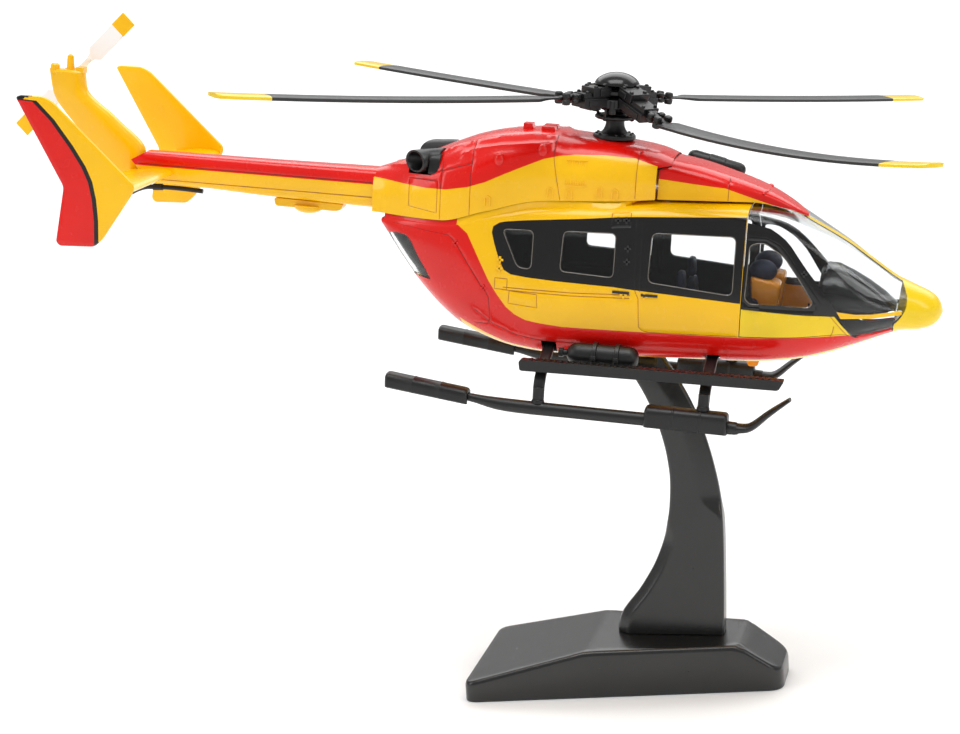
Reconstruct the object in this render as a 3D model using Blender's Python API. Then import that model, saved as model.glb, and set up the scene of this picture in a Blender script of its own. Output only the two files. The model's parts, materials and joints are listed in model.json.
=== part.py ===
"""Die-cast style helicopter scale model, nose down on a display stand.

The constants are millimetres; MM turns them into Blender's metres.  Two frames are used.
Row frame: origin under the middle of the stand's base, +X to the nose, +Y to port, +Z up.
Airframe frame: origin at the main rotor's centre, same axes, pitched nose down by PITCH.
"""
import math

import bpy
import bmesh
from mathutils import Matrix, Vector

for old in list(bpy.data.objects):
    bpy.data.objects.remove(old, do_unlink=True)

MM = 0.001
GAP = 0.35                      # clearance between neighbouring solids

# ---- driving dimensions -------------------------------------------------------------
HUB_HEIGHT = 162.5              # rotor centre above the table
HUB_FORWARD = 3.65              # rotor centre ahead of the base's middle
PITCH = math.radians(6.0)       # nose-down attitude on the stand

ROTOR_RADIUS = 118.0
BLADE_CHORD = 7.5
BLADE_ROOT = 17.5
GRIP_START = 6.0                # radius at which a blade's droop begins
BLADES = (                      # azimuth in degrees, root height, tip height, sag at mid span
    (-42.6, -3.6, -0.5, 3.1),
    (51.0, -0.6, -6.0, 0.4),
    (140.3, -2.9, -5.2, 0.2),
    (224.5, 0.0, 4.2, 0.7),
)
TAIL_ROTOR = (-155.4, 6.0, -5.4)
TAIL_ROTOR_RADIUS = 23.1
TAIL_BLADE_CHORD = 4.8
TAIL_BLADE_ANGLE = 46.0         # parked angle of the tail rotor

POD_REAR, POD_NOSE = -61.5, 77.2
CANOPY_REAR = 38.8
SKIN = 1.4
SKID_TRACK = 29.5               # half track
SKID_RADIUS = 1.75
SLEEVE_RADIUS = 1.1             # the tube is thinner where the rear float pack wraps it
LEG_STATIONS = (-11.7, 31.8)
ENDPLATE_Y = 36.5
BOTTLE_Y, BOTTLE_Z = -22.6, -65.6
HOIST_X, HOIST_Y, HOIST_Z = 25.9, 15.0, -18.5
HOIST_SLOPE = 0.22
PEG_X, PEG_LENGTH, PEG_WIDTH, PEG_DEPTH = 10.0, 8.0, 3.4, 7.5

BASE_REAR, BASE_FRONT = -43.05, 43.05
BASE_HALF_WIDTH, BASE_TAPER = 17.15, 0.17     # half width at the middle, and its change per mm
BASE_CORNER = 4.5
BASE_HEIGHT, BASE_END_HEIGHT = 13.3, 5.5
BASE_FLAT = (-9.5, 31.6)        # the level part of the base's top
BASE_CHAMFER = 1.3


# ---- curves and sections ------------------------------------------------------------
def curve(*points):
    """Smooth curve through a few (x, value) points that never overshoots them."""
    xs = [p[0] for p in points]
    ys = [p[1] for p in points]
    slopes = [(ys[i + 1] - ys[i]) / (xs[i + 1] - xs[i]) for i in range(len(xs) - 1)]
    tangents = [slopes[0]]
    for left, right in zip(slopes, slopes[1:]):
        same_way = left * right > 0
        tangents.append(2 * left * right / (left + right) if same_way else 0.0)
    tangents.append(slopes[-1])

    def value(x):
        x = min(max(x, xs[0]), xs[-1])
        i = max(k for k in range(len(xs) - 1) if k == 0 or xs[k] <= x)
        h = xs[i + 1] - xs[i]
        t = (x - xs[i]) / h
        return (ys[i] * (1 + 2 * t) * (1 - t) ** 2 + tangents[i] * h * t * (1 - t) ** 2
                + ys[i + 1] * t * t * (3 - 2 * t) - tangents[i + 1] * h * t * t * (1 - t))

    return value


def ramp(x, start, end):
    t = min(max((x - start) / (end - start), 0.0), 1.0)
    return t * t * (3 - 2 * t)


def spline(controls, per_span, closed=True):
    """Quadratic B-spline through a control polygon in any number of dimensions."""
    count = len(controls)
    spans = range(count) if closed else range(1, count - 1)
    points = []
    for i in spans:
        before, here, after = controls[i - 1], controls[i], controls[(i + 1) % count]
        for k in range(per_span):
            t = k / per_span
            points.append(tuple(0.5 * (1 - t) ** 2 * a + (0.5 + t - t * t) * b + 0.5 * t * t * c
                                for a, b, c in zip(before, here, after)))
    return points


# The pod: lower fuselage, cabin and canopy as one form.
pod_width = curve((-61.5, 7.2), (-58, 9.8), (-50, 13.6), (-40, 16.7), (-28, 19.0), (-12, 20.2),
                  (5, 20.4), (38, 20.4), (50, 19.3), (60, 16.6), (70, 12.4), (76, 9.3), (80, 7.7))
pod_top = curve((-61.5, -36.6), (-55, -35.6), (-43, -34.9), (-31, -31.4), (-16.5, -27.6),
                (4, -26.3), (13, -25.4), (38, -24.7), (48, -26.3), (54, -28.9), (63.7, -33.7),
                (71, -38.3), (77.2, -42.1), (80, -43.4))
pod_bottom = curve((-61.5, -38.6), (-59, -42.4), (-53.8, -49.6), (-48.7, -55.6), (-43.6, -60.5),
                   (-38.2, -64.3), (-32, -66.8), (-22, -68.8), (-12, -69.3), (0, -69.0),
                   (20, -67.9), (43, -66.7), (56, -64.9), (62, -63.3), (68, -61.0), (77, -57.2),
                   (80, -56.0))
# Control polygons of a half section: (part of the half width, part of the height from the top).
TAIL_SECTION = ((0.72, 0.0), (0.97, 0.0), (1.0, 0.10), (1.02, 0.36), (0.93, 0.68), (0.68, 0.91),
                (0.26, 1.0))
CABIN_SECTION = ((0.45, 0.0), (0.86, 0.03), (0.915, 0.18), (1.01, 0.53), (1.01, 0.74),
                 (0.90, 0.937), (0.44, 1.0))
NOSE_SECTION = ((0.23, 0.0), (0.64, 0.10), (0.924, 0.28), (1.026, 0.50), (0.924, 0.72),
                (0.64, 0.90), (0.23, 1.0))


def half_controls(x, inset=0.0):
    width = pod_width(x) - inset
    top, bottom = pod_top(x) - inset, pod_bottom(x) + inset
    cabin, nose = ramp(x, -46, -14), ramp(x, 44, 79)
    points = []
    for tail_c, cabin_c, nose_c in zip(TAIL_SECTION, CABIN_SECTION, NOSE_SECTION):
        part = [t + (c - t) * cabin for t, c in zip(tail_c, cabin_c)]
        part = [p + (n - p) * nose for p, n in zip(part, nose_c)]
        points.append((part[0] * width, top + part[1] * (bottom - top)))
    return points


def full_ring(half, per_span=2):
    """Closed ring of (y, z) from a half control polygon that runs from crown to keel."""
    mirrored = [(-y, z) for y, z in reversed(half)]
    return spline(half + mirrored, per_span)


def half_curve(half, steps=56):
    """The half section from crown to keel as a dense list of (y, z)."""
    controls = [(-half[0][0], half[0][1])] + half + [(-half[-1][0], half[-1][1])]
    per_span = steps // len(half)
    points = spline(controls, per_span, closed=False)
    return points + [(0.0, half[-1][1])]


def until_height(half, height):
    """The half section from its crown down to a height, as a list of (y, z)."""
    dense = half_curve(half)
    kept = [dense[0]]
    for (y0, z0), (y1, z1) in zip(dense, dense[1:]):
        if z1 <= height < z0:
            t = (z0 - height) / (z0 - z1)
            kept.append((y0 + (y1 - y0) * t, height))
            return kept
        kept.append((y1, z1))
    return kept


def resample(points, count):
    """Evenly spaced points along a polyline."""
    lengths = [0.0]
    for a, b in zip(points, points[1:]):
        lengths.append(lengths[-1] + math.dist(a, b))
    out, i = [], 0
    for k in range(count):
        target = lengths[-1] * k / (count - 1)
        while i < len(points) - 2 and lengths[i + 1] < target:
            i += 1
        t = (target - lengths[i]) / max(lengths[i + 1] - lengths[i], 1e-9)
        out.append(tuple(a + (b - a) * t for a, b in zip(points[i], points[i + 1])))
    return out


canopy_edge = curve((38, -57.9), (52, -57.3), (65.5, -56.4), (68.5, -57.6), (80, -55.0))

# Engine cowling: the upper shell from the boom root to the front lip.
cowl_top = curve((-64.5, -23.8), (-58, -21.4), (-50, -18.4), (-42, -14.9), (-36, -12.6),
                 (-28, -10.8), (-18, -10.0), (-8, -10.6), (2, -11.4), (9, -12.2), (13.5, -13.1),
                 (16.8, -14.3))
cowl_bottom = curve((-64.5, -35.2), (-55, -34.9), (-43, -34.4), (-31, -30.9), (-16.5, -27.1),
                    (4, -25.8), (13, -24.9), (16.8, -24.6))
cowl_width = curve((-64.5, 6.2), (-61, 7.6), (-55, 10.9), (-50, 13.1), (-40, 16.0), (-30, 16.8),
                   (-16, 15.9), (0, 14.8), (13, 13.6), (16.8, 12.4))
COWL_SECTION = ((0.26, 0.0), (0.66, 0.06), (0.90, 0.24), (1.0, 0.52), (1.0, 0.80))

# Front roof fairing: the spine between the cowling and the windscreen.
fairing_top = curve((17.4, -15.0), (24, -16.1), (31, -17.9), (38, -19.9), (43.4, -21.9),
                    (49, -24.8), (53, -27.4))
fairing_width = curve((17.4, 11.6), (26, 10.9), (34, 9.5), (43, 6.9), (49, 4.6), (53, 2.0))

# Tail boom.
boom_top = curve((-131.6, -24.2), (-100, -24.2), (-65, -24.0))
boom_bottom = curve((-131.6, -33.1), (-118, -33.2), (-95, -34.2), (-65, -34.9))
boom_width = curve((-131.6, 3.6), (-100, 4.3), (-65, 5.3))

# Tail fin: leading and trailing edge as functions of height.
fin_lead = curve((-33.4, -132.0), (-24.6, -131.9), (-16.0, -140.4), (-8.0, -149.4), (-3.6, -149.8))
fin_trail = curve((-33.4, -146.0), (-27, -146.5), (-20, -151.6), (-10, -159.2), (-3.6, -160.4))
fin_half = curve((-33.4, 2.0), (-24.6, 2.6), (-14, 2.3), (-3.6, 2.3))

ENDPLATE_OUTLINE = ((-154.8, -6.6), (-153.6, -5.9), (-147.0, -5.9), (-144.2, -7.2),
                    (-121.9, -27.2), (-121.4, -28.6), (-122.2, -30.6), (-130.2, -43.0),
                    (-132.6, -45.2), (-142.4, -45.7), (-143.5, -44.6), (-141.3, -29.6))

WINDOWS = {                     # side windows: corner points in the X-Z plane, and corner radius
    "rear": (((-25.4, -34.6), (-16.9, -34.3), (-16.7, -44.9), (-21.0, -44.6)), 1.0),
    "middle": (((-8.9, -34.2), (4.9, -33.6), (4.9, -45.2), (-9.5, -44.6)), 1.3),
    "front": (((14.4, -32.8), (36.3, -31.9), (36.2, -47.3), (14.0, -45.1)), 1.5),
}
TAIL_WINDOW = ((2.0, -40.6), (9.9, -40.6), (11.0, -50.0), (2.0, -50.0))      # in the Y-Z plane

ARM_LEFT = curve((-148.4, -6.9), (-145, -6.2), (-136, 0.2), (-128.5, 4.6), (-120.5, 7.6),
                 (-112, 9.3), (-105, 9.7), (-99, 9.2), (-91, 7.5), (-83, 4.6), (-76, 1.0),
                 (-69.6, -3.0))
ARM_RIGHT = curve((-148.4, 22.9), (-135, 23.5), (-118, 23.9), (-110, 23.3), (-102, 22.0),
                  (-92, 19.5), (-85, 17.0), (-78, 13.6), (-69.6, 9.2))
ARM_HALF = curve((-148.4, 3.4), (-120, 3.0), (-95, 2.6), (-69.6, 2.4))


# ---- materials ----------------------------------------------------------------------
def srgb(red, green, blue):
    def linear(value):
        value /= 255
        return value / 12.92 if value <= 0.04045 else ((value + 0.055) / 1.055) ** 2.4
    return linear(red), linear(green), linear(blue), 1.0


PAINTS = {                      # sRGB colour, roughness, metallic, alpha
    "yellow": ((252, 198, 8), 0.25, 0.0, 1.0),
    "lemon": ((240, 215, 30), 0.3, 0.0, 1.0),
    "red": ((214, 30, 18), 0.25, 0.0, 1.0),
    "black_plastic": ((26, 26, 27), 0.4, 0.0, 1.0),
    "stand": ((38, 38, 39), 0.5, 0.0, 1.0),
    "blade": ((44, 45, 47), 0.4, 0.0, 1.0),
    "white": ((240, 240, 238), 0.35, 0.0, 1.0),
    "clear": ((235, 240, 240), 0.05, 0.0, 0.3),
    "interior": ((30, 34, 48), 0.6, 0.0, 1.0),
    "floor": ((120, 122, 126), 0.6, 0.0, 1.0),
    "orange": ((240, 150, 20), 0.35, 0.0, 1.0),
    "steel": ((170, 172, 176), 0.3, 1.0, 1.0),
}


def paint(node, name):
    """A node's own Principled material in one of the finishes above."""
    colour, roughness, metallic, alpha = PAINTS[name]
    made = bpy.data.materials.new(node + "_" + name)
    made.use_nodes = True
    shader = made.node_tree.nodes["Principled BSDF"]
    shader.inputs["Base Color"].default_value = srgb(*colour)
    shader.inputs["Roughness"].default_value = roughness
    shader.inputs["Metallic"].default_value = metallic
    shader.inputs["Alpha"].default_value = alpha
    return made


# ---- frames -------------------------------------------------------------------------
def empty(name, location, rotation=(0.0, 0.0, 0.0), parent=None):
    made = bpy.data.objects.new(name, None)
    made.location = [value * MM for value in location]
    made.rotation_euler = rotation
    made.parent = parent
    bpy.context.collection.objects.link(made)
    return made


AIRFRAME = empty("airframe_frame", (HUB_FORWARD, 0.0, HUB_HEIGHT), (0.0, PITCH, 0.0))
MAIN_AXIS = empty("main_rotor_axis", (0.0, 0.0, 0.0), parent=AIRFRAME)
TAIL_AXIS = empty("tail_rotor_axis", TAIL_ROTOR, parent=AIRFRAME)


def to_row(point):
    """A point of the airframe frame in the row frame."""
    turned = Matrix.Rotation(PITCH, 3, "Y") @ Vector(point)
    return (turned.x + HUB_FORWARD, turned.y, turned.z + HUB_HEIGHT)


# ---- solids -------------------------------------------------------------------------
def add(name, finish, verts, faces, parent=AIRFRAME, cutter=False):
    """Make an object from millimetre points, with its faces turned outwards."""
    mesh = bpy.data.meshes.new(name)
    mesh.from_pydata([Vector(v) * MM for v in verts], [], faces)
    work = bmesh.new()
    work.from_mesh(mesh)
    bmesh.ops.recalc_face_normals(work, faces=work.faces[:])
    work.to_mesh(mesh)
    work.free()
    made = bpy.data.objects.new(name, mesh)
    bpy.context.collection.objects.link(made)
    made.parent = parent
    if cutter:
        made.hide_render = True
        made.display_type = "WIRE"
    else:
        mesh.materials.append(paint(name, finish))
        mesh.shade_smooth()
        mesh.set_sharp_from_angle(angle=math.radians(38))
    return made


def loft(rings):
    """Closed solid through rings of equal length, with flat ends."""
    size = len(rings[0])
    verts = [p for ring in rings for p in ring]
    faces = [tuple(range(size))[::-1], tuple(range(len(verts) - size, len(verts)))]
    for r in range(len(rings) - 1):
        for k in range(size):
            a, b = r * size + k, r * size + (k + 1) % size
            faces.append((a, b, b + size, a + size))
    return verts, faces


def pipe(outer, inner):
    """Tube open at both ends, from matching outer and inner rings."""
    size, rows = len(outer[0]), len(outer)
    verts = [p for ring in outer for p in ring] + [p for ring in inner for p in ring]
    shift = rows * size
    faces = []
    for k in range(size):
        n = (k + 1) % size
        for r in range(rows - 1):
            a, b = r * size + k, r * size + n
            faces.append((a, b, b + size, a + size))
            faces.append((shift + b, shift + a, shift + a + size, shift + b + size))
        last = (rows - 1) * size
        faces.append((n, k, shift + k, shift + n))
        faces.append((last + k, last + n, shift + last + n, shift + last + k))
    return verts, faces


def sheet(outer, inner):
    """Thick sheet from two matching open grids of points."""
    rows, cols = len(outer), len(outer[0])
    verts = [p for row in outer for p in row] + [p for row in inner for p in row]
    shift = rows * cols
    faces = []
    for r in range(rows - 1):
        for c in range(cols - 1):
            a, b = r * cols + c, r * cols + c + 1
            faces.append((a, b, b + cols, a + cols))
            faces.append((shift + b, shift + a, shift + a + cols, shift + b + cols))
    border = [c for c in range(cols)]
    border += [r * cols + cols - 1 for r in range(1, rows)]
    border += [(rows - 1) * cols + c for c in reversed(range(cols - 1))]
    border += [r * cols for r in reversed(range(1, rows - 1))]
    for a, b in zip(border, border[1:] + border[:1]):
        faces.append((b, a, shift + a, shift + b))
    return verts, faces


def prism(outline, low, high, axis="y"):
    """Outline extruded along an axis; its points are the other two coordinates in order."""
    def place(point, along):
        if axis == "x":
            return (along, point[0], point[1])
        if axis == "y":
            return (point[0], along, point[1])
        return (point[0], point[1], along)
    return loft([[place(p, low) for p in outline], [place(p, high) for p in outline]])


def block(low, high):
    """Box between two corners."""
    (x0, y0, z0), (x1, y1, z1) = low, high
    return prism(((x0, y0), (x1, y0), (x1, y1), (x0, y1)), z0, z1, "z")


def turned(profile, centre=(0.0, 0.0, 0.0), sides=16, axis="z"):
    """Solid of revolution from (radius, height) points; a zero radius closes an end."""
    rings = []
    for radius, height in profile:
        ring = []
        for k in range(sides):
            angle = 2 * math.pi * k / sides
            a, b = radius * math.cos(angle), radius * math.sin(angle)
            point = {"z": (a, b, height), "y": (a, height, b), "x": (height, a, b)}[axis]
            ring.append(tuple(c + p for c, p in zip(centre, point)))
        rings.append(ring)
    return loft(rings)


def ring_solid(outer, inner, low, high, sides=16):
    """Plain washer or collar about the Z axis."""
    def circle(radius, height):
        return [(radius * math.cos(2 * math.pi * k / sides),
                 radius * math.sin(2 * math.pi * k / sides), height) for k in range(sides)]
    return pipe([circle(outer, low), circle(outer, high)],
                [circle(inner, low), circle(inner, high)])


def swept(path, radius, sides=8, flatten=None):
    """Round bar along a path in 3-D; flatten gives (sideways, upright) radii for each point."""
    points = [Vector(p) for p in path]
    rings = []
    for i, point in enumerate(points):
        ahead = points[min(i + 1, len(points) - 1)] - points[max(i - 1, 0)]
        side = ahead.cross(Vector((0, 0, 1)))
        if side.length < 1e-6 or abs(ahead.normalized().z) > 0.97:
            side = Vector((1, 0, 0))
        side.normalize()
        up = side.cross(ahead).normalized()
        wide, tall = flatten[i] if flatten else (radius, radius)
        ring = []
        for k in range(sides):
            angle = 2 * math.pi * (k + 0.5) / sides
            offset = side * wide * math.cos(angle) + up * tall * math.sin(angle)
            ring.append(tuple(point + offset))
        rings.append(ring)
    return loft(rings)


def merged(*shapes):
    """Several separate closed shapes as one list of points and faces."""
    verts, faces = [], []
    for shape_verts, shape_faces in shapes:
        start = len(verts)
        verts += shape_verts
        faces += [tuple(start + i for i in face) for face in shape_faces]
    return verts, faces


def mirrored(shape):
    """A shape reflected to the other side of the model."""
    verts, faces = shape
    return [(x, -y, z) for x, y, z in verts], [tuple(reversed(face)) for face in faces]


def combine(target, shape, name, operation):
    """Put a live Boolean with a hidden second shape on a solid."""
    helper = add("helper_" + name, None, *shape, parent=target.parent, cutter=True)
    modifier = target.modifiers.new(name, "BOOLEAN")
    modifier.operation = operation
    modifier.solver = "EXACT"
    modifier.object = helper


def cut(target, shape, name):
    """Take a shape away from a solid."""
    combine(target, shape, "cut_" + name, "DIFFERENCE")


def join(target, shape, name):
    """Mould a shape on to a solid that it overlaps."""
    combine(target, shape, "join_" + name, "UNION")


def rounded(corners, radius, steps=1):
    """Polygon with its corners cut back by a short arc."""
    out = []
    count = len(corners)
    for i, corner in enumerate(corners):
        here = Vector(corner)
        before = (Vector(corners[i - 1]) - here).normalized() * radius
        after = (Vector(corners[(i + 1) % count]) - here).normalized() * radius
        for k in range(steps + 1):
            t = k / steps
            out.append(tuple(here + before * (1 - t) ** 2 + after * t * t))
    return out


def spaced(start, end, count):
    return [start + (end - start) * k / (count - 1) for k in range(count)]


# ---- the stand ----------------------------------------------------------------------
def base_half_width(x):
    """Half width of the base with its rounded corners in plan."""
    width = BASE_HALF_WIDTH - BASE_TAPER * x
    inside = min(x - BASE_REAR, BASE_FRONT - x)
    if inside >= BASE_CORNER:
        return width
    rest = BASE_CORNER - inside
    return width - BASE_CORNER + math.sqrt(max(BASE_CORNER ** 2 - rest ** 2, 0.0))


def base_height(x):
    if x < BASE_FLAT[0]:
        share = (x - BASE_REAR) / (BASE_FLAT[0] - BASE_REAR)
    else:
        share = min(1.0, (BASE_FRONT - x) / (BASE_FRONT - BASE_FLAT[1]))
    return BASE_END_HEIGHT + (BASE_HEIGHT - BASE_END_HEIGHT) * share


def base_outline(inset):
    """Plan outline of the base, drawn in by an inset."""
    stations = [BASE_REAR + inset, BASE_REAR + inset + 1.5, BASE_REAR + BASE_CORNER,
                BASE_FRONT - BASE_CORNER, BASE_FRONT - inset - 1.5, BASE_FRONT - inset]
    half = [(x, base_half_width(x) - inset) for x in stations]
    return half + [(x, -y) for x, y in reversed(half)]


SCREW_X = (7.0, 17.5)
PLATE_DEPTH, PLATE_INSET = 1.2, 3.0


def make_stand():
    corner_steps = [BASE_CORNER * (1 - math.cos(math.radians(a))) for a in (0, 30, 60, 90)]
    stations = [BASE_REAR + d for d in corner_steps] + [BASE_FLAT[0], BASE_FLAT[1]]
    stations += [BASE_FRONT - d for d in reversed(corner_steps)]
    rings = []
    for x in stations:
        half, top = base_half_width(x), base_height(x)
        chamfer = min(BASE_CHAMFER, half * 0.5)
        rings.append([(x, -half, 0.0), (x, half, 0.0), (x, half, top - chamfer),
                      (x, half - chamfer, top), (x, chamfer - half, top),
                      (x, -half, top - chamfer)])
    base = add("stand_base", "stand", *loft(rings), parent=None)
    cut(base, prism(base_outline(PLATE_INSET), -1.0, PLATE_DEPTH + GAP, "z"), "plate_recess")
    bores = [turned(((1.3, -1.0), (1.3, 20.0)), (x, 0, 0), 12) for x in SCREW_X]
    cut(base, merged(*bores), "screw_bores")

    plate = add("base_plate", "stand", parent=None,
                *prism(base_outline(PLATE_INSET + GAP), 0.0, PLATE_DEPTH, "z"))
    holes = [turned(((2.4, -1.0), (2.4, 3.0)), (x, 0, 0), 12) for x in SCREW_X]
    cut(plate, merged(*holes), "screw_heads")

    screw = ((1.9, 0.25), (1.9, 1.2), (0.9, 1.21), (0.9, 20.5))
    for place, x in zip(("rear", "front"), SCREW_X):
        add("stand_screw_" + place, "steel", *turned(screw, (x, 0, 0), 10), parent=None)

    arm = add("stand_arm", "stand", *arm_shape(), parent=None)
    pilots = [turned(((1.25, 5.0), (1.25, 21.0)), (x, 0, 0), 12) for x in SCREW_X]
    cut(arm, merged(*pilots), "screw_pilots")


def arm_ring(height):
    """Blade-like section of the arm: bevelled behind at the foot, in front at the top."""
    left, right, half = ARM_LEFT(height), ARM_RIGHT(height), ARM_HALF(height)
    low = ramp(height, -112, -140)
    high = ramp(height, -114, -100)
    chord = right - left
    left_ridge = left + 0.8 + 0.17 * chord * low
    right_ridge = right - 0.8 - 0.46 * chord * high
    left_edge = half * (0.75 - 0.45 * low)
    right_edge = half * (0.85 - 0.45 * high)
    section = [(left, left_edge), (left_ridge, half), (right_ridge, half), (right, right_edge)]
    section += [(x, -y) for x, y in reversed(section)]
    return [(x + HUB_FORWARD, y, height + HUB_HEIGHT) for x, y in section]


def arm_shape():
    foot = BASE_HEIGHT + GAP - HUB_HEIGHT
    heights = [foot] + spaced(-144, -77, 12)
    rings = [arm_ring(h) for h in heights]
    belly = pod_bottom(PEG_X) - GAP

    def top_ring(length, width, height, taper=1.0):
        x0, x1, y = PEG_X - length / 2, PEG_X + length / 2, width / 2
        section = [(x0, y * taper), (x0 + 1.0, y), (x1 - 1.0, y), (x1, y * taper)]
        section += [(x, -w) for x, w in reversed(section)]
        return [to_row((x, w, height)) for x, w in section]

    rings.append(top_ring(12.2, 4.8, belly, 0.7))
    rings.append(top_ring(PEG_LENGTH, PEG_WIDTH, belly))
    rings.append(top_ring(PEG_LENGTH, PEG_WIDTH, belly + PEG_DEPTH))
    return loft(rings)


# ---- fuselage -----------------------------------------------------------------------
def pod_loft(stations, inset=0.0):
    return loft([[(x, y, z) for y, z in full_ring(half_controls(min(x, 80.0), inset))]
                 for x in stations])


def side_prism(corners, radius):
    return prism(rounded(corners, radius, 2), -30.0, 30.0)


def make_fuselage():
    stations = [POD_REAR, -58, -53, -47, -40, -32, -23, -13, 0, 16, 34, 45, 54, 62, 69, 75,
                POD_NOSE]
    shell = add("fuselage_shell", "yellow", *pod_loft(stations))
    hollow = [-59.8, -57.5, -52.5, -46, -39, -31, -22, -13, 0, 16, 34, 45, 54, 62, 69, 75, 84]
    cut(shell, pod_loft(hollow, SKIN), "cabin")
    edge = [(x, canopy_edge(x)) for x in (CANOPY_REAR, 52, 62, 65.5, 68.5, 74, 80)]
    front = [(CANOPY_REAR, 5.0)] + edge + [(90.0, edge[-1][1]), (90.0, 5.0)]
    cut(shell, prism(front, -30.0, 30.0), "canopy")
    for name, (corners, radius) in WINDOWS.items():
        cut(shell, side_prism(corners, radius), "window_" + name)
    port = prism(rounded(TAIL_WINDOW, 1.2), -75.0, -44.0, "x")
    cut(shell, merged(port, mirrored(port)), "tail_windows")
    x0, x1 = PEG_X - PEG_LENGTH / 2 - GAP, PEG_X + PEG_LENGTH / 2 + GAP
    half = PEG_WIDTH / 2 + GAP
    cut(shell, block((x0, -half, -75.0), (x1, half, -60.0)), "peg_slot")
    for place, x in zip(("rear", "front"), LEG_STATIONS):
        slot = block((x - 1.9, 9.5, -71.0), (x + 1.9, 25.0, -63.4))
        cut(shell, merged(slot, mirrored(slot)), place + "_leg_slots")

    belly = pod_bottom(PEG_X) + SKIN
    socket_end = pod_bottom(PEG_X) + PEG_DEPTH        # the blind socket stops above the peg
    socket = add("stand_socket", "black_plastic",
                 *block((PEG_X - 7, -4.2, belly + GAP + 0.4), (PEG_X + 7, 4.2, socket_end + 1.2)))
    cut(socket, block((x0, -half, -75.0), (x1, half, socket_end)), "socket_slot")


def make_canopy():
    stations = [CANOPY_REAR + GAP, 44, 50, 56, 61, 66, 70, 74, 77.2]
    columns = 11

    def grid(inset):
        rows = []
        for x in stations:
            side = until_height(half_controls(x, inset), canopy_edge(x) + GAP)
            port = resample(side, columns)
            ring = [(-y, z) for y, z in reversed(port[1:])] + port
            rows.append([(x, y, z) for y, z in ring])
        return rows

    add("canopy", "clear", *sheet(grid(0.0), grid(0.9)))
    nose = ((77.6, 1.0), (80.5, 0.985), (83.5, 0.90), (86.2, 0.74), (88.4, 0.48), (89.7, 0.16))
    rings = []
    for x, share in nose:
        drop = 1.3 * ((x - 77.6) / 12.1) ** 2
        rings.append([(x, 7.6 * share * math.sin(a), -49.5 - drop + 7.3 * share * math.cos(a))
                      for a in (2 * math.pi * k / 20 for k in range(20))])
    add("nose_radome", "yellow", *loft(rings))


def make_glazing():
    """Clear inserts that stand just inside the window openings."""
    back = SKIN + GAP
    stations = (-26.8, -20, -12, 0, 12, 24, 37.2)
    foot, head, rise = -48.2, -33.7, 0.037        # heights of the edges, and the head's slope

    def side_grid(inset):
        return [[(x, wall(x, z, inset), z)
                 for z in spaced(foot, head + rise * (x - stations[0]), 5)] for x in stations]

    insert = sheet(side_grid(back), side_grid(back + 0.8))
    add("side_glazing_left", "clear", *insert)
    add("side_glazing_right", "clear", *mirrored(insert))

    halves = (-11.8, -7, -2, 2, 7, 11.8)

    def tail_grid(inset):
        return [[(rear_wall(abs(y), z, inset), y, z) for y in halves]
                for z in spaced(-51.0, -39.8, 5)]

    add("tail_glazing", "clear", *sheet(tail_grid(back + 0.5), tail_grid(back + 1.3)))


def wall(x, z, inset=0.0):
    """Half width of the pod at a station and a height on its side."""
    return until_height(half_controls(x, inset), z)[-1][0]


def rear_wall(y, z, inset=0.0):
    """Station of the pod's rear surface at a half width and a height."""
    low, high = POD_REAR, -25.0
    for _ in range(24):
        middle = (low + high) / 2
        inside = pod_bottom(middle) + inset < z and wall(middle, z, inset) > y
        low, high = (low, middle) if inside else (middle, high)
    return high


# ---- cabin --------------------------------------------------------------------------
def seat_outline(x, z, back_lean, facing):
    """Side outline of a seat: cushion and leaning back rest."""
    shape = ((0, 0), (9.0, 0.6), (9.4, 3.0), (3.2, 2.6), (1.2 - back_lean, 13.0),
             (0.2 - back_lean, 16.6), (-1.8 - back_lean, 16.4), (-2.0, 1.0))
    return [(x + facing * dx, z + dz) for dx, dz in shape]


def make_cabin():
    floor_top = -60.2
    stations = (-25, -17, -8, 4, 20, 36, 46, 54, 60)
    plan = [(x, wall(x, floor_top - 1.4, SKIN) - 0.5) for x in stations]
    plan += [(x, -y) for x, y in reversed(plan)]
    floor = add("cabin_floor", "floor", *prism(plan, floor_top - 1.0, floor_top, "z"))
    half = PEG_WIDTH / 2 + 3 * GAP
    cut(floor, block((PEG_X - 8, -half - 3.5, -75.0), (PEG_X + 8, half + 3.5, -50.0)), "peg_well")
    base = floor_top + GAP
    pilot = prism(seat_outline(42.0, base, 2.0, 1), 2.2, 11.2)
    add("pilot_seat_left", "interior", *pilot)
    add("pilot_seat_right", "interior", *mirrored(pilot))
    middle = prism(seat_outline(22.5, base, 1.0, 1), 6.0, 14.2)
    add("cabin_seat_left", "interior", *middle)
    add("cabin_seat_right", "interior", *mirrored(middle))
    add("rear_bench", "interior", *prism(seat_outline(-16.0, base, 1.5, 1), -13.0, 13.0))
    panel = ((61.2, base), (63.6, base), (64.6, -52.0), (62.4, -47.6), (58.8, -48.4), (60.0, -52.0))
    add("instrument_panel", "interior", *prism(panel, -6.2, 6.2))


# ---- upper works --------------------------------------------------------------------
def cowl_ring(x, inset=0.0):
    """Ring of the cowling, drawn in by an inset on its top and sides but not its foot."""
    top, bottom, width = cowl_top(x) - inset, cowl_bottom(x) - inset, cowl_width(x) - inset
    half = [(part * width, top + share * (bottom - top)) for part, share in COWL_SECTION]
    foot = (width, bottom)
    controls = [(-half[0][0], half[0][1])] + half + [foot, foot]
    side = spline(controls, 2, closed=False) + [foot]
    ring = side + [(-y, z) for y, z in reversed(side[1:])]
    return [(x, y, z) for y, z in ring]


COWL_SKIN = 2.6
MAST_BORE = 1.6
FLANGE_RADIUS, FLANGE_BOTTOM = 5.65, -11.4


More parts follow.
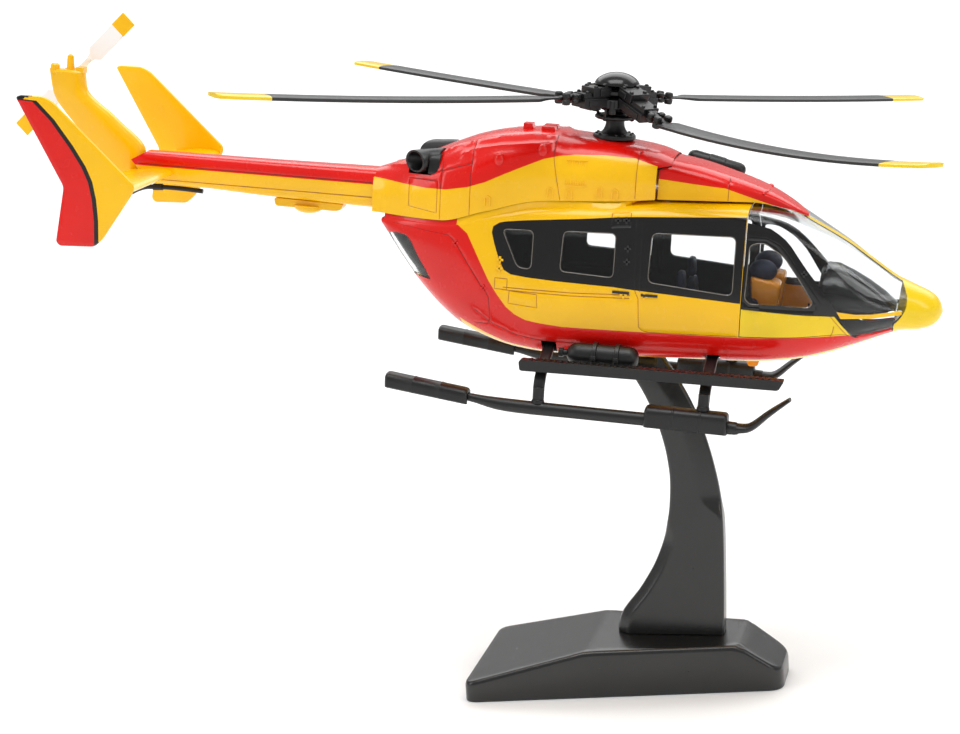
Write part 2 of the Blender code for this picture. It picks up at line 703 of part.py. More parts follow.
def make_upper():
    stations = [-64.5, -62, -58, -53, -47, -40, -32, -24, -16, -7, 2, 9, 13.5, 16.8]
    cowl = add("engine_cowling", "yellow", *loft([cowl_ring(x) for x in stations]))
    hollow = [-57, -53, -47, -40, -32, -24, -16, -7, 2, 9, 13.5]
    cut(cowl, loft([cowl_ring(x, COWL_SKIN) for x in hollow]), "engine_bay")
    cut(cowl, turned(((MAST_BORE, -23.0), (MAST_BORE, 0.0)), sides=12), "mast_bore")
    seat = FLANGE_RADIUS + GAP
    cut(cowl, turned(((seat, FLANGE_BOTTOM - GAP), (seat, 0.0)), sides=18), "mast_seat")

    rings = []
    for x in (17.2, 24, 31, 38, 44, 49, 53):
        top, half = fairing_top(x), fairing_width(x)
        bottom = pod_top(x) + 2 * GAP
        shape = [(half, bottom), (half, bottom + 0.55 * (top - bottom)),
                 (half * 0.72, top - 0.12 * (top - bottom)), (half * 0.28, top)]
        ring = shape + [(-y, z) for y, z in reversed(shape)]
        rings.append([(x, y, z) for y, z in ring])
    add("roof_fairing", "red", *loft(rings))

    scoops = []
    for x0, x1, y0, y1, rise in ((-24.5, -21.2, -1.6, 1.6, 1.4), (-19.2, -14.8, 0.6, 3.4, 1.0),
                                 (-19.2, -14.8, -3.4, -0.6, 1.0)):
        low = cowl_top((x0 + x1) / 2) - 1.0
        outline = ((x0, low), (x1, low), (x1 - 1.0, low + 1.0 + rise), (x0, low + 1.0 + rise))
        scoops.append(prism(outline, y0, y1))
    join(cowl, merged(*scoops), "scoops")

    bay = prism(((-60.0, -23.4), (-46.9, -22.8), (-46.9, -9.0), (-60.0, -9.0)), 4.4, 18.0)
    cut(cowl, merged(bay, mirrored(bay)), "exhaust_bays")
    exhaust = exhaust_shape()
    add("exhaust_left", "black_plastic", *exhaust)
    add("exhaust_right", "black_plastic", *mirrored(exhaust))


def exhaust_shape():
    """Oval outlet pipe, curving outwards and cut on the slant at its mouth."""
    def ring(centre, radius, slant):
        points = []
        for k in range(12):
            angle = 2 * math.pi * k / 12
            y, z = radius * 1.08 * math.cos(angle), radius * 0.92 * math.sin(angle)
            points.append((centre[0] + slant * y, centre[1] + y, centre[2] + z))
        return points
    path = (((-47.4, 8.6, -18.4), 3.5, -0.1), ((-50.2, 9.7, -19.0), 3.5, 0.2),
            ((-53.2, 11.1, -19.6), 3.2, 1.0))
    return pipe([ring(c, r, s) for c, r, s in path], [ring(c, r - 0.6, s) for c, r, s in path])


def make_tail():
    rings = []
    for x in (-65.0, -80, -95, -110, -122, -131.5):
        top, bottom, half = boom_top(x), boom_bottom(x), boom_width(x)
        tall = top - bottom
        shape = [(half * 0.45, top), (half * 0.9, top - 0.16 * tall), (half, top - 0.42 * tall),
                 (half * 0.95, top - 0.74 * tall), (half * 0.5, bottom)]
        ring = shape + [(-y, z) for y, z in reversed(shape)]
        rings.append([(x, y, z) for y, z in ring])
    boom = add("tail_boom", "yellow", *loft(rings))

    rings = []
    for z in (-33.4, -30, -24.6, -19, -13, -8, -3.6):
        lead, trail, half = fin_lead(z), fin_trail(z), fin_half(z)
        chord = lead - trail
        shape = [(lead, 0.35 * half), (lead - 0.14 * chord, 0.85 * half),
                 (lead - 0.36 * chord, half), (lead - 0.75 * chord, 0.62 * half),
                 (trail, 0.2 * half)]
        ring = shape + [(x, -y) for x, y in reversed(shape)]
        rings.append([(x, y, z) for x, y in ring])
    fin = add("tail_fin", "yellow", *loft(rings))
    join(fin, block((-155.0, -0.7, -5.0), (-153.2, 0.7, 1.0)), "fin_antenna")

    beam = ((-122.4, -29.6), (-124.0, -28.7), (-129.0, -28.7), (-135.0, -29.3),
            (-135.0, -29.9), (-129.0, -30.5), (-124.0, -30.5))
    reach = ENDPLATE_Y - 0.6 - GAP
    add("stabiliser", "yellow", *prism(beam, -reach, reach))
    slot = block((-135.0 - GAP, -8, -30.5 - GAP), (-122.4 + GAP, 8, -28.7 + GAP))
    cut(boom, slot, "boom_slot")
    cut(fin, slot, "fin_slot")
    plate = prism(ENDPLATE_OUTLINE, ENDPLATE_Y - 0.6, ENDPLATE_Y + 0.6)
    add("endplate_left", "yellow", *plate)
    add("endplate_right", "red", *mirrored(plate))

    guard = ((-115.0, 0, -34.7), (-122, 0, -34.3), (-129.0, 0, -34.4), (-133.0, 0, -35.0),
             (-137.5, 0, -37.4), (-143.5, 0, -42.0))
    add("tail_guard", "black_plastic", *swept(guard, 0.7, 6))
    keel = ((-93.7, -34.55), (-73.8, -35.05), (-74.2, -36.5), (-76, -36.8), (-93.2, -36.6))
    antenna = add("boom_antenna", "yellow", *prism(keel, -2.2, 2.2))
    dome = turned(((4.2, 0.9), (3.7, -0.3), (2.2, -1.2), (0.5, -1.5)), (-84.2, 0.0, -36.7), 12)
    join(antenna, dome, "dome")

    gearbox = ((2.4, 2.9), (2.4, 4.2), (1.5, 4.6))
    x, _, z = TAIL_ROTOR
    add("tail_gearbox", "yellow", *turned(gearbox, (x, 0, z), 14, "y"))


# ---- undercarriage ------------------------------------------------------------------
def skid_shape():
    path = ((-52.6, -75.7), (-42, -76.9), (-30, -78.3), (-20, -79.6), (0, -79.7), (20, -79.8),
            (38.6, -79.9), (41.4, -79.8), (44.6, -79.0), (49, -75.0), (54.0, -70.9))
    radii = [(SLEEVE_RADIUS, SLEEVE_RADIUS)] * 3 + [(SKID_RADIUS, SKID_RADIUS)] * 4
    radii += [(2.2, 1.3), (2.5, 1.1), (2.4, 0.8), (1.9, 0.5)]
    return swept([(x, SKID_TRACK, z) for x, z in path], SKID_RADIUS, 8, radii)


def pack_shape(tube, wide, tall, rise, ends):
    """Stowed float: a saddle over the top of the skid tube between two (x, z) stations."""
    inner = tube + GAP + 0.1
    outer_arc = [(wide * math.cos(math.radians(a)), tall * math.sin(math.radians(a)) + rise)
                 for a in (0, 30, 60, 90, 120, 150, 180)]
    inner_arc = [(inner * math.cos(math.radians(a)), inner * math.sin(math.radians(a)))
                 for a in (168, 135, 90, 45, 12)]
    section = [(wide, -1.3)] + outer_arc + [(-wide, -1.3), (-inner, -1.3)] + inner_arc
    section += [(inner, -1.3)]
    return loft([[(x, SKID_TRACK + dy, z + dz) for dy, dz in section]
                 for x, z in ends])


def make_undercarriage():
    skid = skid_shape()
    rear = pack_shape(SLEEVE_RADIUS, 2.7, 2.0, 0.3, ((-52.4, -75.75), (-30.5, -78.25)))
    front = pack_shape(SKID_RADIUS, 2.9, 2.2, 1.7, ((17.0, -79.75), (38.4, -79.9)))
    for side, flip in (("left", lambda s: s), ("right", mirrored)):
        add(f"skid_{side}", "black_plastic", *flip(skid))
        bar = ((-17.2, -67.4), (-16.6, -66.9), (52.0, -66.2), (50.6, -68.9), (-17.0, -69.9))
        add(f"step_{side}", "black_plastic", *flip(prism(bar, 26.9, 29.9)))
        add(f"float_pack_rear_{side}", "black_plastic", *flip(rear))
        add(f"float_pack_front_{side}", "black_plastic", *flip(front))
    for place, x in zip(("rear", "front"), LEG_STATIONS):
        skid_top = -77.9 if place == "rear" else -75.65
        port = [(x, 29.1, skid_top + GAP), (x, 28.6, -73.8), (x, 26.6, -71.0), (x, 23.2, -68.6),
                (x, 19.4, -66.8), (x, 15.5, -65.1), (x, 11.0, -64.4)]
        path = port + [(x, -y, z) for x, y, z in reversed(port)]
        add(f"cross_tube_{place}", "black_plastic", *strip(path, 1.5, 0.8))


def strip(path, half_x, half_thick):
    """Flat bar whose width lies along X, following a path in the Y-Z plane."""
    rings = []
    for i, (x, y, z) in enumerate(path):
        _, y0, z0 = path[max(i - 1, 0)]
        _, y1, z1 = path[min(i + 1, len(path) - 1)]
        along = Vector((y1 - y0, z1 - z0)).normalized()
        ny, nz = -along.y * half_thick, along.x * half_thick
        rings.append([(x - half_x, y - ny, z - nz), (x + half_x, y - ny, z - nz),
                      (x + half_x, y + ny, z + nz), (x - half_x, y + ny, z + nz)])
    return loft(rings)


def make_fittings():
    bottle = ((0.9, -7.6), (0.9, -6.0), (2.2, -5.2), (3.0, -3.6), (3.0, 10.4), (2.4, 12.0),
              (1.0, 12.8))
    add("bottle", "black_plastic", *turned(bottle, (0.4, BOTTLE_Y, BOTTLE_Z), 14, "x"))
    for place, x in (("rear", 1.2), ("front", 7.2)):
        add("bottle_strap_" + place, "black_plastic", *strap_shape(x))
    drum = [(x, HOIST_Y, HOIST_Z - HOIST_SLOPE * (x - HOIST_X)) for x in
            (HOIST_X - 7.7, HOIST_X - 6.8, HOIST_X + 6.8, HOIST_X + 7.7)]
    hoist = add("hoist", "black_plastic", *swept(drum, 2.0, 12, ((1.1, 1.1), (2.0, 2.0)) +
                                                 ((2.0, 2.0), (1.1, 1.1))))
    foot = block((HOIST_X - 1.5, HOIST_Y - 0.8, -24.5), (HOIST_X + 1.5, HOIST_Y + 0.8, HOIST_Z))
    join(hoist, foot, "hoist_bracket")
    fin = ((38.4, -67.3), (43.0, -67.1), (42.2, -69.9), (39.8, -70.1))
    add("belly_antenna", "orange", *prism(fin, -0.7, 0.7))


def strap_shape(x):
    """Band round the bottle, with clearance to it."""
    def circle(radius, along):
        return [(along, BOTTLE_Y + radius * math.cos(2 * math.pi * k / 14),
                 BOTTLE_Z + radius * math.sin(2 * math.pi * k / 14)) for k in range(14)]
    inner, outer = 3.0 + GAP, 3.0 + GAP + 0.45
    return pipe([circle(outer, x), circle(outer, x + 1.0)],
                [circle(inner, x), circle(inner, x + 1.0)])


# ---- rotors -------------------------------------------------------------------------
def blade_height(radius, root, tip, sag):
    """Height of a blade's middle plane above the hub at a radius."""
    if radius < BLADE_ROOT:
        return root * max(radius - GRIP_START, 0.0) / (BLADE_ROOT - GRIP_START)
    share = (radius - BLADE_ROOT) / (ROTOR_RADIUS - BLADE_ROOT)
    return root + (tip - root) * share - sag * 4 * share * (1 - share)


def radial(shape, azimuth):
    """Turn a shape that was made along +X to a rotor azimuth."""
    verts, faces = shape
    c, s = math.cos(math.radians(azimuth)), math.sin(math.radians(azimuth))
    return [(x * c - y * s, x * s + y * c, z) for x, y, z in verts], faces


def blade_shape(root, tip, sag):
    rings = []
    for radius in (BLADE_ROOT, BLADE_ROOT + 6, 40, 60, 80, 100, ROTOR_RADIUS):
        z = blade_height(radius, root, tip, sag)
        half = BLADE_CHORD / 2 if radius > BLADE_ROOT else BLADE_CHORD / 2 - 0.8
        section = ((-half, 0.0), (-half * 0.5, 0.55), (half * 0.4, 0.7), (half, 0.2),
                   (half, -0.2), (half * 0.4, -0.45), (-half * 0.5, -0.35))
        rings.append([(radius, y, z + dz) for y, dz in section])
    return loft(rings)


def make_main_rotor():
    flange = ((FLANGE_RADIUS, FLANGE_BOTTOM), (FLANGE_RADIUS, FLANGE_BOTTOM + 1.2), (3.3, -9.5),
              (2.4, -8.0), (2.4, -4.6))
    mast = add("mast_support", "black_plastic", *turned(flange, sides=18))
    cut(mast, turned(((MAST_BORE, -14.0), (MAST_BORE, 0.0)), sides=12), "support_bore")
    add("rotor_shaft", "steel", *turned(((1.15, -20.0), (1.15, -4.0 - GAP)), sides=12),
        parent=MAIN_AXIS)
    swash = add("swashplate", "black_plastic", *ring_solid(6.2, 2.85, -7.3, -6.0),
                parent=MAIN_AXIS)
    hub = ((3.2, -4.0), (4.6, -3.2), (4.6, -0.6), (3.4, 0.2), (3.4, 1.9))
    head = add("rotor_hub", "black_plastic", *turned(hub, sides=16), parent=MAIN_AXIS)
    dome = ((6.0, 2.3), (5.7, 3.4), (4.6, 4.8), (2.8, 5.8), (0.8, 6.2))
    add("hub_cap", "black_plastic", *turned(dome, sides=18), parent=MAIN_AXIS)
    links = []
    for azimuth, *_ in BLADES:
        link = turned(((0.45, -6.6), (0.45, -4.9)), (5.2, 0.0, 0.0), 6)
        links.append(radial(link, azimuth))
    join(swash, merged(*links), "pitch_links")
    fittings = {"grips": [], "cuffs": [], "bolts": []}
    for number, (azimuth, *droop) in enumerate(BLADES, 1):
        z = blade_height(11, *droop)
        plan = ((3.6, -1.6), (6.6, -3.3), (12.6, -3.3), (13.8, -1.8), (13.8, 1.8), (12.6, 3.3),
                (6.6, 3.3), (3.6, 1.6))
        grip = prism(plan, z - 2.4, z + 1.7, "z")
        fittings["grips"].append(radial(grip, azimuth))
        z_root = blade_height(BLADE_ROOT, *droop)
        cuff = prism(((13.0, z - 0.9), (BLADE_ROOT - GAP, z_root - 1.0),
                      (BLADE_ROOT - GAP, z_root + 1.0), (13.0, z + 1.1)), -1.3, 1.3)
        fittings["cuffs"].append(radial(cuff, azimuth))
        add(f"main_blade_{number}", "blade", *radial(blade_shape(*droop), azimuth),
            parent=MAIN_AXIS)
        for x in (8.6, 11.8):
            bolt = turned(((0.7, z + 1.2), (0.7, z + 2.6)), (x, 0.0, 0.0), 6)
            fittings["bolts"].append(radial(bolt, azimuth))
    for kind, shapes in fittings.items():
        join(head, merged(*shapes), kind)


def make_tail_rotor():
    """Two-blade tail rotor on the port side of the fin; its own origin is its axle."""
    hub = ((1.0, -1.0), (1.8, -0.9), (1.8, 0.9), (0.9, 1.6))
    add("tail_rotor_hub", "white", *turned(hub, sides=12, axis="y"), parent=TAIL_AXIS)
    angle = math.radians(TAIL_BLADE_ANGLE)
    for number, sign in ((1, 1), (2, -1)):
        rings = []
        full = TAIL_BLADE_CHORD / 2
        for radius, half, thick in ((2.2, 1.0, 0.5), (6.5, 1.1, 0.5), (9.0, full, 0.42),
                                    (TAIL_ROTOR_RADIUS, full, 0.3)):
            u, w = sign * radius, half
            ring = []
            for across, out in ((-w, -thick), (w, -thick), (w, thick), (-w, thick)):
                x = u * math.cos(angle) - across * math.sin(angle)
                z = u * math.sin(angle) + across * math.cos(angle)
                ring.append((x, out, z))
            rings.append(ring)
        add(f"tail_blade_{number}", "white", *loft(rings), parent=TAIL_AXIS)


make_stand()
make_fuselage()
make_canopy()
make_glazing()
make_cabin()
make_upper()
make_tail()
make_undercarriage()
make_fittings()
make_main_rotor()
make_tail_rotor()
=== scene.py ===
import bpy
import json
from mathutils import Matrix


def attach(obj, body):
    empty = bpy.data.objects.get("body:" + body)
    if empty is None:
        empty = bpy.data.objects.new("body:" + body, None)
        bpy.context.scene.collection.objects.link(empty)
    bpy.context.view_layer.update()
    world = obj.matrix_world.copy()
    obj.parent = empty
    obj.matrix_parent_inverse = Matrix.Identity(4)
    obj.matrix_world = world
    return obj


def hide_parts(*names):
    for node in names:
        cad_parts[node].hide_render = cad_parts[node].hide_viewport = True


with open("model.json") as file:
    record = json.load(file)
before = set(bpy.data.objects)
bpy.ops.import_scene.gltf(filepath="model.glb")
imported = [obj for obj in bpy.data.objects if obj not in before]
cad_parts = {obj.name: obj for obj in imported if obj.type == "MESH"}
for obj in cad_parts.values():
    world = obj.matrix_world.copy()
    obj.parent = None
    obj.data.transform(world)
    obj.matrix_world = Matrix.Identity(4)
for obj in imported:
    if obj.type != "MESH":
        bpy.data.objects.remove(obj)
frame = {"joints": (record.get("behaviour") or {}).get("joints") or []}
"""Looks of a helicopter display model.

Shapes are written in millimetres in the airframe frame: origin at the main rotor's centre, +X
to the nose, +Y to port, +Z along the mast.  TO_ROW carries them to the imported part's frame.
"""
import json
import math

import bpy
import bmesh
import numpy as np
from mathutils import Matrix, Vector
from mathutils.geometry import delaunay_2d_cdt

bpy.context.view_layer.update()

MM = 0.001
joints = {joint["name"]: joint for joint in frame["joints"]}
HUB = Vector(joints["main_rotor_spin"]["pos_m"])
MAST = Vector(joints["main_rotor_spin"]["axis"])
PITCH = math.atan2(MAST.x, MAST.z)
TO_ROW = Matrix.Translation(HUB) @ Matrix.Rotation(PITCH, 4, "Y") @ Matrix.Scale(MM, 4)
FROM_ROW = TO_ROW.inverted()
STAND = Matrix.Scale(MM, 4)                      # the stand is written in the row frame
TAIL_HUB = FROM_ROW @ Vector(joints["tail_rotor_spin"]["pos_m"])

# ---- camera ---------------------------------------------------------------------------------
CAMERA_PLACE = (0.11661, -0.63430, 0.23390)
CAMERA_AZIMUTH, CAMERA_DOWN, CAMERA_ROLL = 13.723, 12.506, -3.649
CAMERA_LENS = 90.95


def make_camera():
    azimuth, down, roll = (math.radians(a) for a in (CAMERA_AZIMUTH, CAMERA_DOWN, CAMERA_ROLL))
    ahead = Vector((-math.sin(azimuth) * math.cos(down), math.cos(azimuth) * math.cos(down),
                    -math.sin(down)))
    right = Vector((math.cos(azimuth), math.sin(azimuth), 0.0))
    up = right.cross(ahead)
    tilted_right = right * math.cos(roll) + up * math.sin(roll)
    tilted_up = up * math.cos(roll) - right * math.sin(roll)
    matrix = Matrix((tilted_right, tilted_up, -ahead)).transposed().to_4x4()
    matrix.translation = CAMERA_PLACE
    camera = bpy.data.objects.new("camera", bpy.data.cameras.new("camera"))
    bpy.context.scene.collection.objects.link(camera)
    camera.matrix_world = matrix
    camera.data.sensor_width = 36.0
    camera.data.lens = CAMERA_LENS
    camera.data.clip_start, camera.data.clip_end = 0.01, 20.0
    bpy.context.scene.camera = camera


# ---- materials ------------------------------------------------------------------------------
def srgb(*channels):
    def linear(value):
        value /= 255
        return value / 12.92 if value <= 0.04045 else ((value + 0.055) / 1.055) ** 2.4
    return tuple(linear(c) for c in channels) + (1.0,)


def toned(colour, factor):
    return tuple(min(c * factor, 1.0) for c in colour[:3]) + (1.0,)


def finish(name, colour, rough, tint=0.06, tint_scale=60.0, grain=0.0, grain_scale=2500.0,
           rough_spread=0.06, stretch=(1, 1, 1), **sockets):
    """Procedural finish: cloudy colour, uneven gloss and a fine relief from noise."""
    made = bpy.data.materials.new(name)
    made.use_nodes = True
    tree = made.node_tree
    link = tree.links.new
    shader = tree.nodes["Principled BSDF"]
    place = tree.nodes.new("ShaderNodeTexCoord")
    scaled = tree.nodes.new("ShaderNodeMapping")
    scaled.inputs["Scale"].default_value = stretch
    link(place.outputs["Object"], scaled.inputs["Vector"])

    def noise(scale, detail):
        node = tree.nodes.new("ShaderNodeTexNoise")
        node.inputs["Scale"].default_value = scale
        node.inputs["Detail"].default_value = detail
        link(scaled.outputs["Vector"], node.inputs["Vector"])
        return node.outputs["Fac"]

    shades = tree.nodes.new("ShaderNodeValToRGB")
    for stop, position, factor in zip(shades.color_ramp.elements, (0.3, 0.7), (1 - tint, 1 + tint)):
        stop.position = position
        stop.color = toned(colour, factor)
    link(noise(tint_scale, 3.0), shades.inputs["Fac"])
    link(shades.outputs["Color"], shader.inputs["Base Color"])
    spread = tree.nodes.new("ShaderNodeMapRange")
    spread.inputs["To Min"].default_value = max(rough - rough_spread, 0.0)
    spread.inputs["To Max"].default_value = rough + rough_spread
    link(noise(tint_scale * 6, 4.0), spread.inputs["Value"])
    link(spread.outputs["Result"], shader.inputs["Roughness"])
    if grain:
        bump = tree.nodes.new("ShaderNodeBump")
        bump.inputs["Strength"].default_value = 1.0
        bump.inputs["Distance"].default_value = grain * MM
        link(noise(grain_scale, 2.0), bump.inputs["Height"])
        link(bump.outputs["Normal"], shader.inputs["Normal"])
    for socket, value in sockets.items():
        shader.inputs[socket.replace("_", " ")].default_value = value
    return made


def enamel(name, colour, **more):
    """Sprayed gloss enamel with faint orange peel under a clear coat."""
    return finish(name, colour, 0.26, tint=0.05, grain=0.02, grain_scale=700.0, Coat_Weight=0.35,
                  Coat_Roughness=0.05, Specular_IOR_Level=0.3, **more)


YELLOW = enamel("yellow_enamel", srgb(253, 193, 0))
LEMON = enamel("lemon_enamel", srgb(244, 206, 8))
RED = enamel("red_enamel", srgb(222, 14, 4))
BLACK_GLOSS = finish("black_gloss", srgb(16, 14, 14), 0.24, tint=0.2, grain=0.015,
                     grain_scale=900.0, Coat_Weight=0.3, Coat_Roughness=0.08,
                     Specular_IOR_Level=0.35)
WHITE = finish("white_enamel", srgb(253, 254, 254), 0.35, tint=0.02, grain=0.01)
# Orange enamel for the belly fin; also the lemon door paint's colour in shade, painted on the door panels'
# inner faces and the pilot chairs' back rests.
ORANGE_AND_SHADED_LEMON = enamel("orange_enamel_and_shaded_lemon", srgb(240, 150, 16))
SATIN = finish("satin_black", srgb(16, 16, 16), 0.4, tint=0.25, tint_scale=220.0, grain=0.03,
               grain_scale=5200.0, rough_spread=0.08)
STAND_BLACK = finish("stand_black", srgb(24, 24, 23), 0.25, tint=0.15, tint_scale=90.0, grain=0.012,
                     grain_scale=6500.0, rough_spread=0.05, Specular_IOR_Level=0.6)
BLADE_BLACK = finish("blade_black", srgb(28, 28, 29), 0.36, tint=0.2, tint_scale=150.0,
                     grain=0.02, grain_scale=3800.0, rough_spread=0.08)
# Darker copies of the yellow and red paints for the engraved lines: painted shade in the grooves.
GROOVE_SHADE_YELLOW = finish("groove_shade_in_yellow", srgb(190, 120, 6), 0.5, tint=0.3, tint_scale=300.0)
GROOVE_SHADE_RED = finish("groove_shade_in_red", srgb(130, 8, 6), 0.5, tint=0.3, tint_scale=300.0)
DARK = finish("cabin_dark", srgb(18, 19, 24), 0.5, tint=0.3, tint_scale=240.0, grain=0.03,
              grain_scale=3000.0)
SEAT = finish("seat_blue", srgb(27, 31, 58), 0.6, tint=0.3, tint_scale=500.0, grain=0.05,
              grain_scale=4200.0)
GREY = finish("cabin_grey", srgb(96, 98, 102), 0.55, tint=0.15, tint_scale=300.0, grain=0.02)
STEEL = finish("bright_steel", srgb(190, 192, 196), 0.25, tint=0.15, tint_scale=500.0,
               grain=0.01, stretch=(1, 1, 12), Metallic=1.0)
CLEAR = finish("clear_plastic", (0.93, 0.95, 0.95, 1.0), 0.03, tint=0.03, rough_spread=0.02,
               grain=0.006, grain_scale=160.0, Transmission_Weight=1.0, IOR=1.3)
# Grey for the rims round the clear panes: painted shade at the edges of the clear plastic.
RIM = finish("window_rim", srgb(112, 106, 98), 0.2, tint=0.2, tint_scale=300.0)
SCREEN = finish("screen_glass", srgb(16, 30, 40), 0.12, tint=0.4, tint_scale=900.0)
GROOVE_SHADES = {"yellow_enamel": GROOVE_SHADE_YELLOW, "red_enamel": GROOVE_SHADE_RED, "lemon_enamel": GROOVE_SHADE_YELLOW}


# ---- pieces ---------------------------------------------------------------------------------
BEVEL_SEGMENTS, BEVEL_ANGLE = 2, 40


def make(name, verts, faces, materials, index=None, body="airframe", matrix=TO_ROW, angle=36,
         replaces=(), slot=None, bevel=0.0, weld=0.0):
    """A piece from points, carried to the row frame by the matrix and riding on its body."""
    mesh = bpy.data.meshes.new(name)
    mesh.from_pydata([tuple(v) for v in verts], [], [tuple(f) for f in faces])
    for material in materials:
        mesh.materials.append(material)
    if index is not None:
        mesh.polygons.foreach_set("material_index", np.asarray(index, np.int32))
    work = bmesh.new()
    work.from_mesh(mesh)
    if weld:
        bmesh.ops.remove_doubles(work, verts=work.verts[:], dist=weld)
    work.to_mesh(mesh)
    work.free()
    mesh.transform(matrix)
    mesh.shade_smooth()
    mesh.set_sharp_from_angle(angle=math.radians(angle))
    obj = bpy.data.objects.new(name, mesh)
    bpy.context.scene.collection.objects.link(obj)
    if bevel:
        round_off = obj.modifiers.new("round_off", "BEVEL")
        round_off.width = bevel * MM
        round_off.segments = BEVEL_SEGMENTS
        round_off.limit_method = "ANGLE"
        round_off.angle_limit = math.radians(BEVEL_ANGLE)
        round_off.harden_normals = True
    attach(obj, body)
    if replaces:
        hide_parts(*replaces)


class Pile:
    """Closed shapes gathered into one piece, each with its own material."""

    def __init__(self, *materials):
        self.materials = materials
        self.verts, self.faces, self.index = [], [], []

    def add(self, shape, material=0, matrix=None):
        verts, faces = shape
        start = len(self.verts)
        self.verts += [tuple(matrix @ Vector(v)) if matrix else tuple(v) for v in verts]
        self.faces += [tuple(start + i for i in face) for face in faces]
        self.index += [material] * len(faces)
        return self

    def add_pair(self, shape, material=0):
        """The shape and its mirror image."""
        return self.add(shape, material).add(mirrored(shape), material)

    def make(self, name, **more):
        make(name, self.verts, self.faces, self.materials, self.index, **more)


def mirrored(shape):
    verts, faces = shape
    return [(x, -y, z) for x, y, z in verts], [tuple(reversed(face)) for face in faces]


SIDES = (("left", lambda shape: shape), ("right", mirrored))


def outward(verts, faces):
    """Faces turned to point out of a closed shape."""
    work = bmesh.new()
    points = [work.verts.new(v) for v in verts]
    for face in faces:
        work.faces.new([points[i] for i in face])
    work.verts.index_update()
    bmesh.ops.recalc_face_normals(work, faces=work.faces[:])
    out = [tuple(v.index for v in face.verts) for face in work.faces]
    work.free()
    return list(verts), out


def bands(count, size):
    """Quads between successive rings of points."""
    return [(a + k, a + (k + 1) % size, a + size + (k + 1) % size, a + size + k)
            for a in range(0, (count - 1) * size, size) for k in range(size)]


def loft(rings):
    """Closed solid through rings of equal length."""
    size = len(rings[0])
    verts = [tuple(p) for ring in rings for p in ring]
    faces = bands(len(rings), size)
    faces += [tuple(range(size)), tuple(range(len(verts) - size, len(verts)))]
    return outward(verts, faces)


def circle(sides, half_step=0.0):
    """Angles round a circle."""
    return [2 * math.pi * (k + half_step) / sides for k in range(sides)]


def turned(profile, centre=(0, 0, 0), sides=32, axis="z"):
    """Solid of revolution from (radius, height) points."""
    rings = []
    for radius, height in profile:
        ring = []
        for angle in circle(sides):
            a, b = radius * math.cos(angle), radius * math.sin(angle)
            point = {"z": (a, b, height), "y": (b, height, a), "x": (height, a, b)}[axis]
            ring.append(tuple(c + p for c, p in zip(centre, point)))
        rings.append(ring)
    return loft(rings)


def block(low, high):
    (x0, y0, z0), (x1, y1, z1) = low, high
    return loft([[(x0, y0, z), (x1, y0, z), (x1, y1, z), (x0, y1, z)] for z in (z0, z1)])


def prism(outline, low, high, axis="y"):
    def place(p, along):
        return {"x": (along, p[0], p[1]), "y": (p[0], along, p[1]),
                "z": (p[0], p[1], along)}[axis]
    return loft([[place(p, low) for p in outline], [place(p, high) for p in outline]])


def smooth(points, per_span=4):
    """Catmull-Rom points through a path of any dimension."""
    pts = [np.array(p, float) for p in points]
    pts = [2 * pts[0] - pts[1]] + pts + [2 * pts[-1] - pts[-2]]
    out = []
    for a, b, c, d in zip(pts, pts[1:], pts[2:], pts[3:]):
        for k in range(per_span):
            t = k / per_span
            out.append(0.5 * (2 * b + (c - a) * t + (2 * a - 5 * b + 4 * c - d) * t * t
                              + (3 * b - a - 3 * c + d) * t ** 3))
    return [tuple(p) for p in out] + [tuple(pts[-2])]


def tube(path, radius, sides=16, wide=None):
    """Round or oval bar along a path; radius may be a list, wide a list of sideways radii."""
    points = [Vector(p) for p in path]
    radii = radius if hasattr(radius, "__len__") else [radius] * len(points)
    widths = wide or radii
    rings = []
    for i, point in enumerate(points):
        ahead = (points[min(i + 1, len(points) - 1)] - points[max(i - 1, 0)]).normalized()
        side = ahead.cross(Vector((0, 0, 1)))
        if side.length < 0.2:
            side = ahead.cross(Vector((0, 1, 0)))
        side.normalize()
        up = side.cross(ahead).normalized()
        rings.append([tuple(point + side * widths[i] * math.cos(a) + up * radii[i] * math.sin(a))
                      for a in circle(sides, 0.5)])
    return loft(rings)


def arc_corners(corners, radius, steps=5):
    """Polygon with each corner rounded."""
    out = []
    count = len(corners)
    for i, corner in enumerate(corners):
        here = Vector(corner)
        before, after = Vector(corners[i - 1]) - here, Vector(corners[(i + 1) % count]) - here
        reach = min(radius, before.length * 0.45, after.length * 0.45)
        for k in range(steps + 1):
            t = k / steps
            out.append(tuple(here + before.normalized() * reach * (1 - t) ** 2
                             + after.normalized() * reach * t * t))
    return out


def grown(polygon, distance):
    """Polygon with every edge moved outwards by a distance, or inwards if it is negative."""
    points = [Vector(p) for p in polygon]
    area = sum(a.x * b.y - b.x * a.y for a, b in zip(points, points[1:] + points[:1]))
    turn = 1.0 if area > 0 else -1.0
    out = []
    for i, here in enumerate(points):
        ahead = (points[(i + 1) % len(points)] - points[i - 1]).normalized()
        out.append(tuple(here + Vector((ahead.y, -ahead.x)) * distance * turn))
    return out


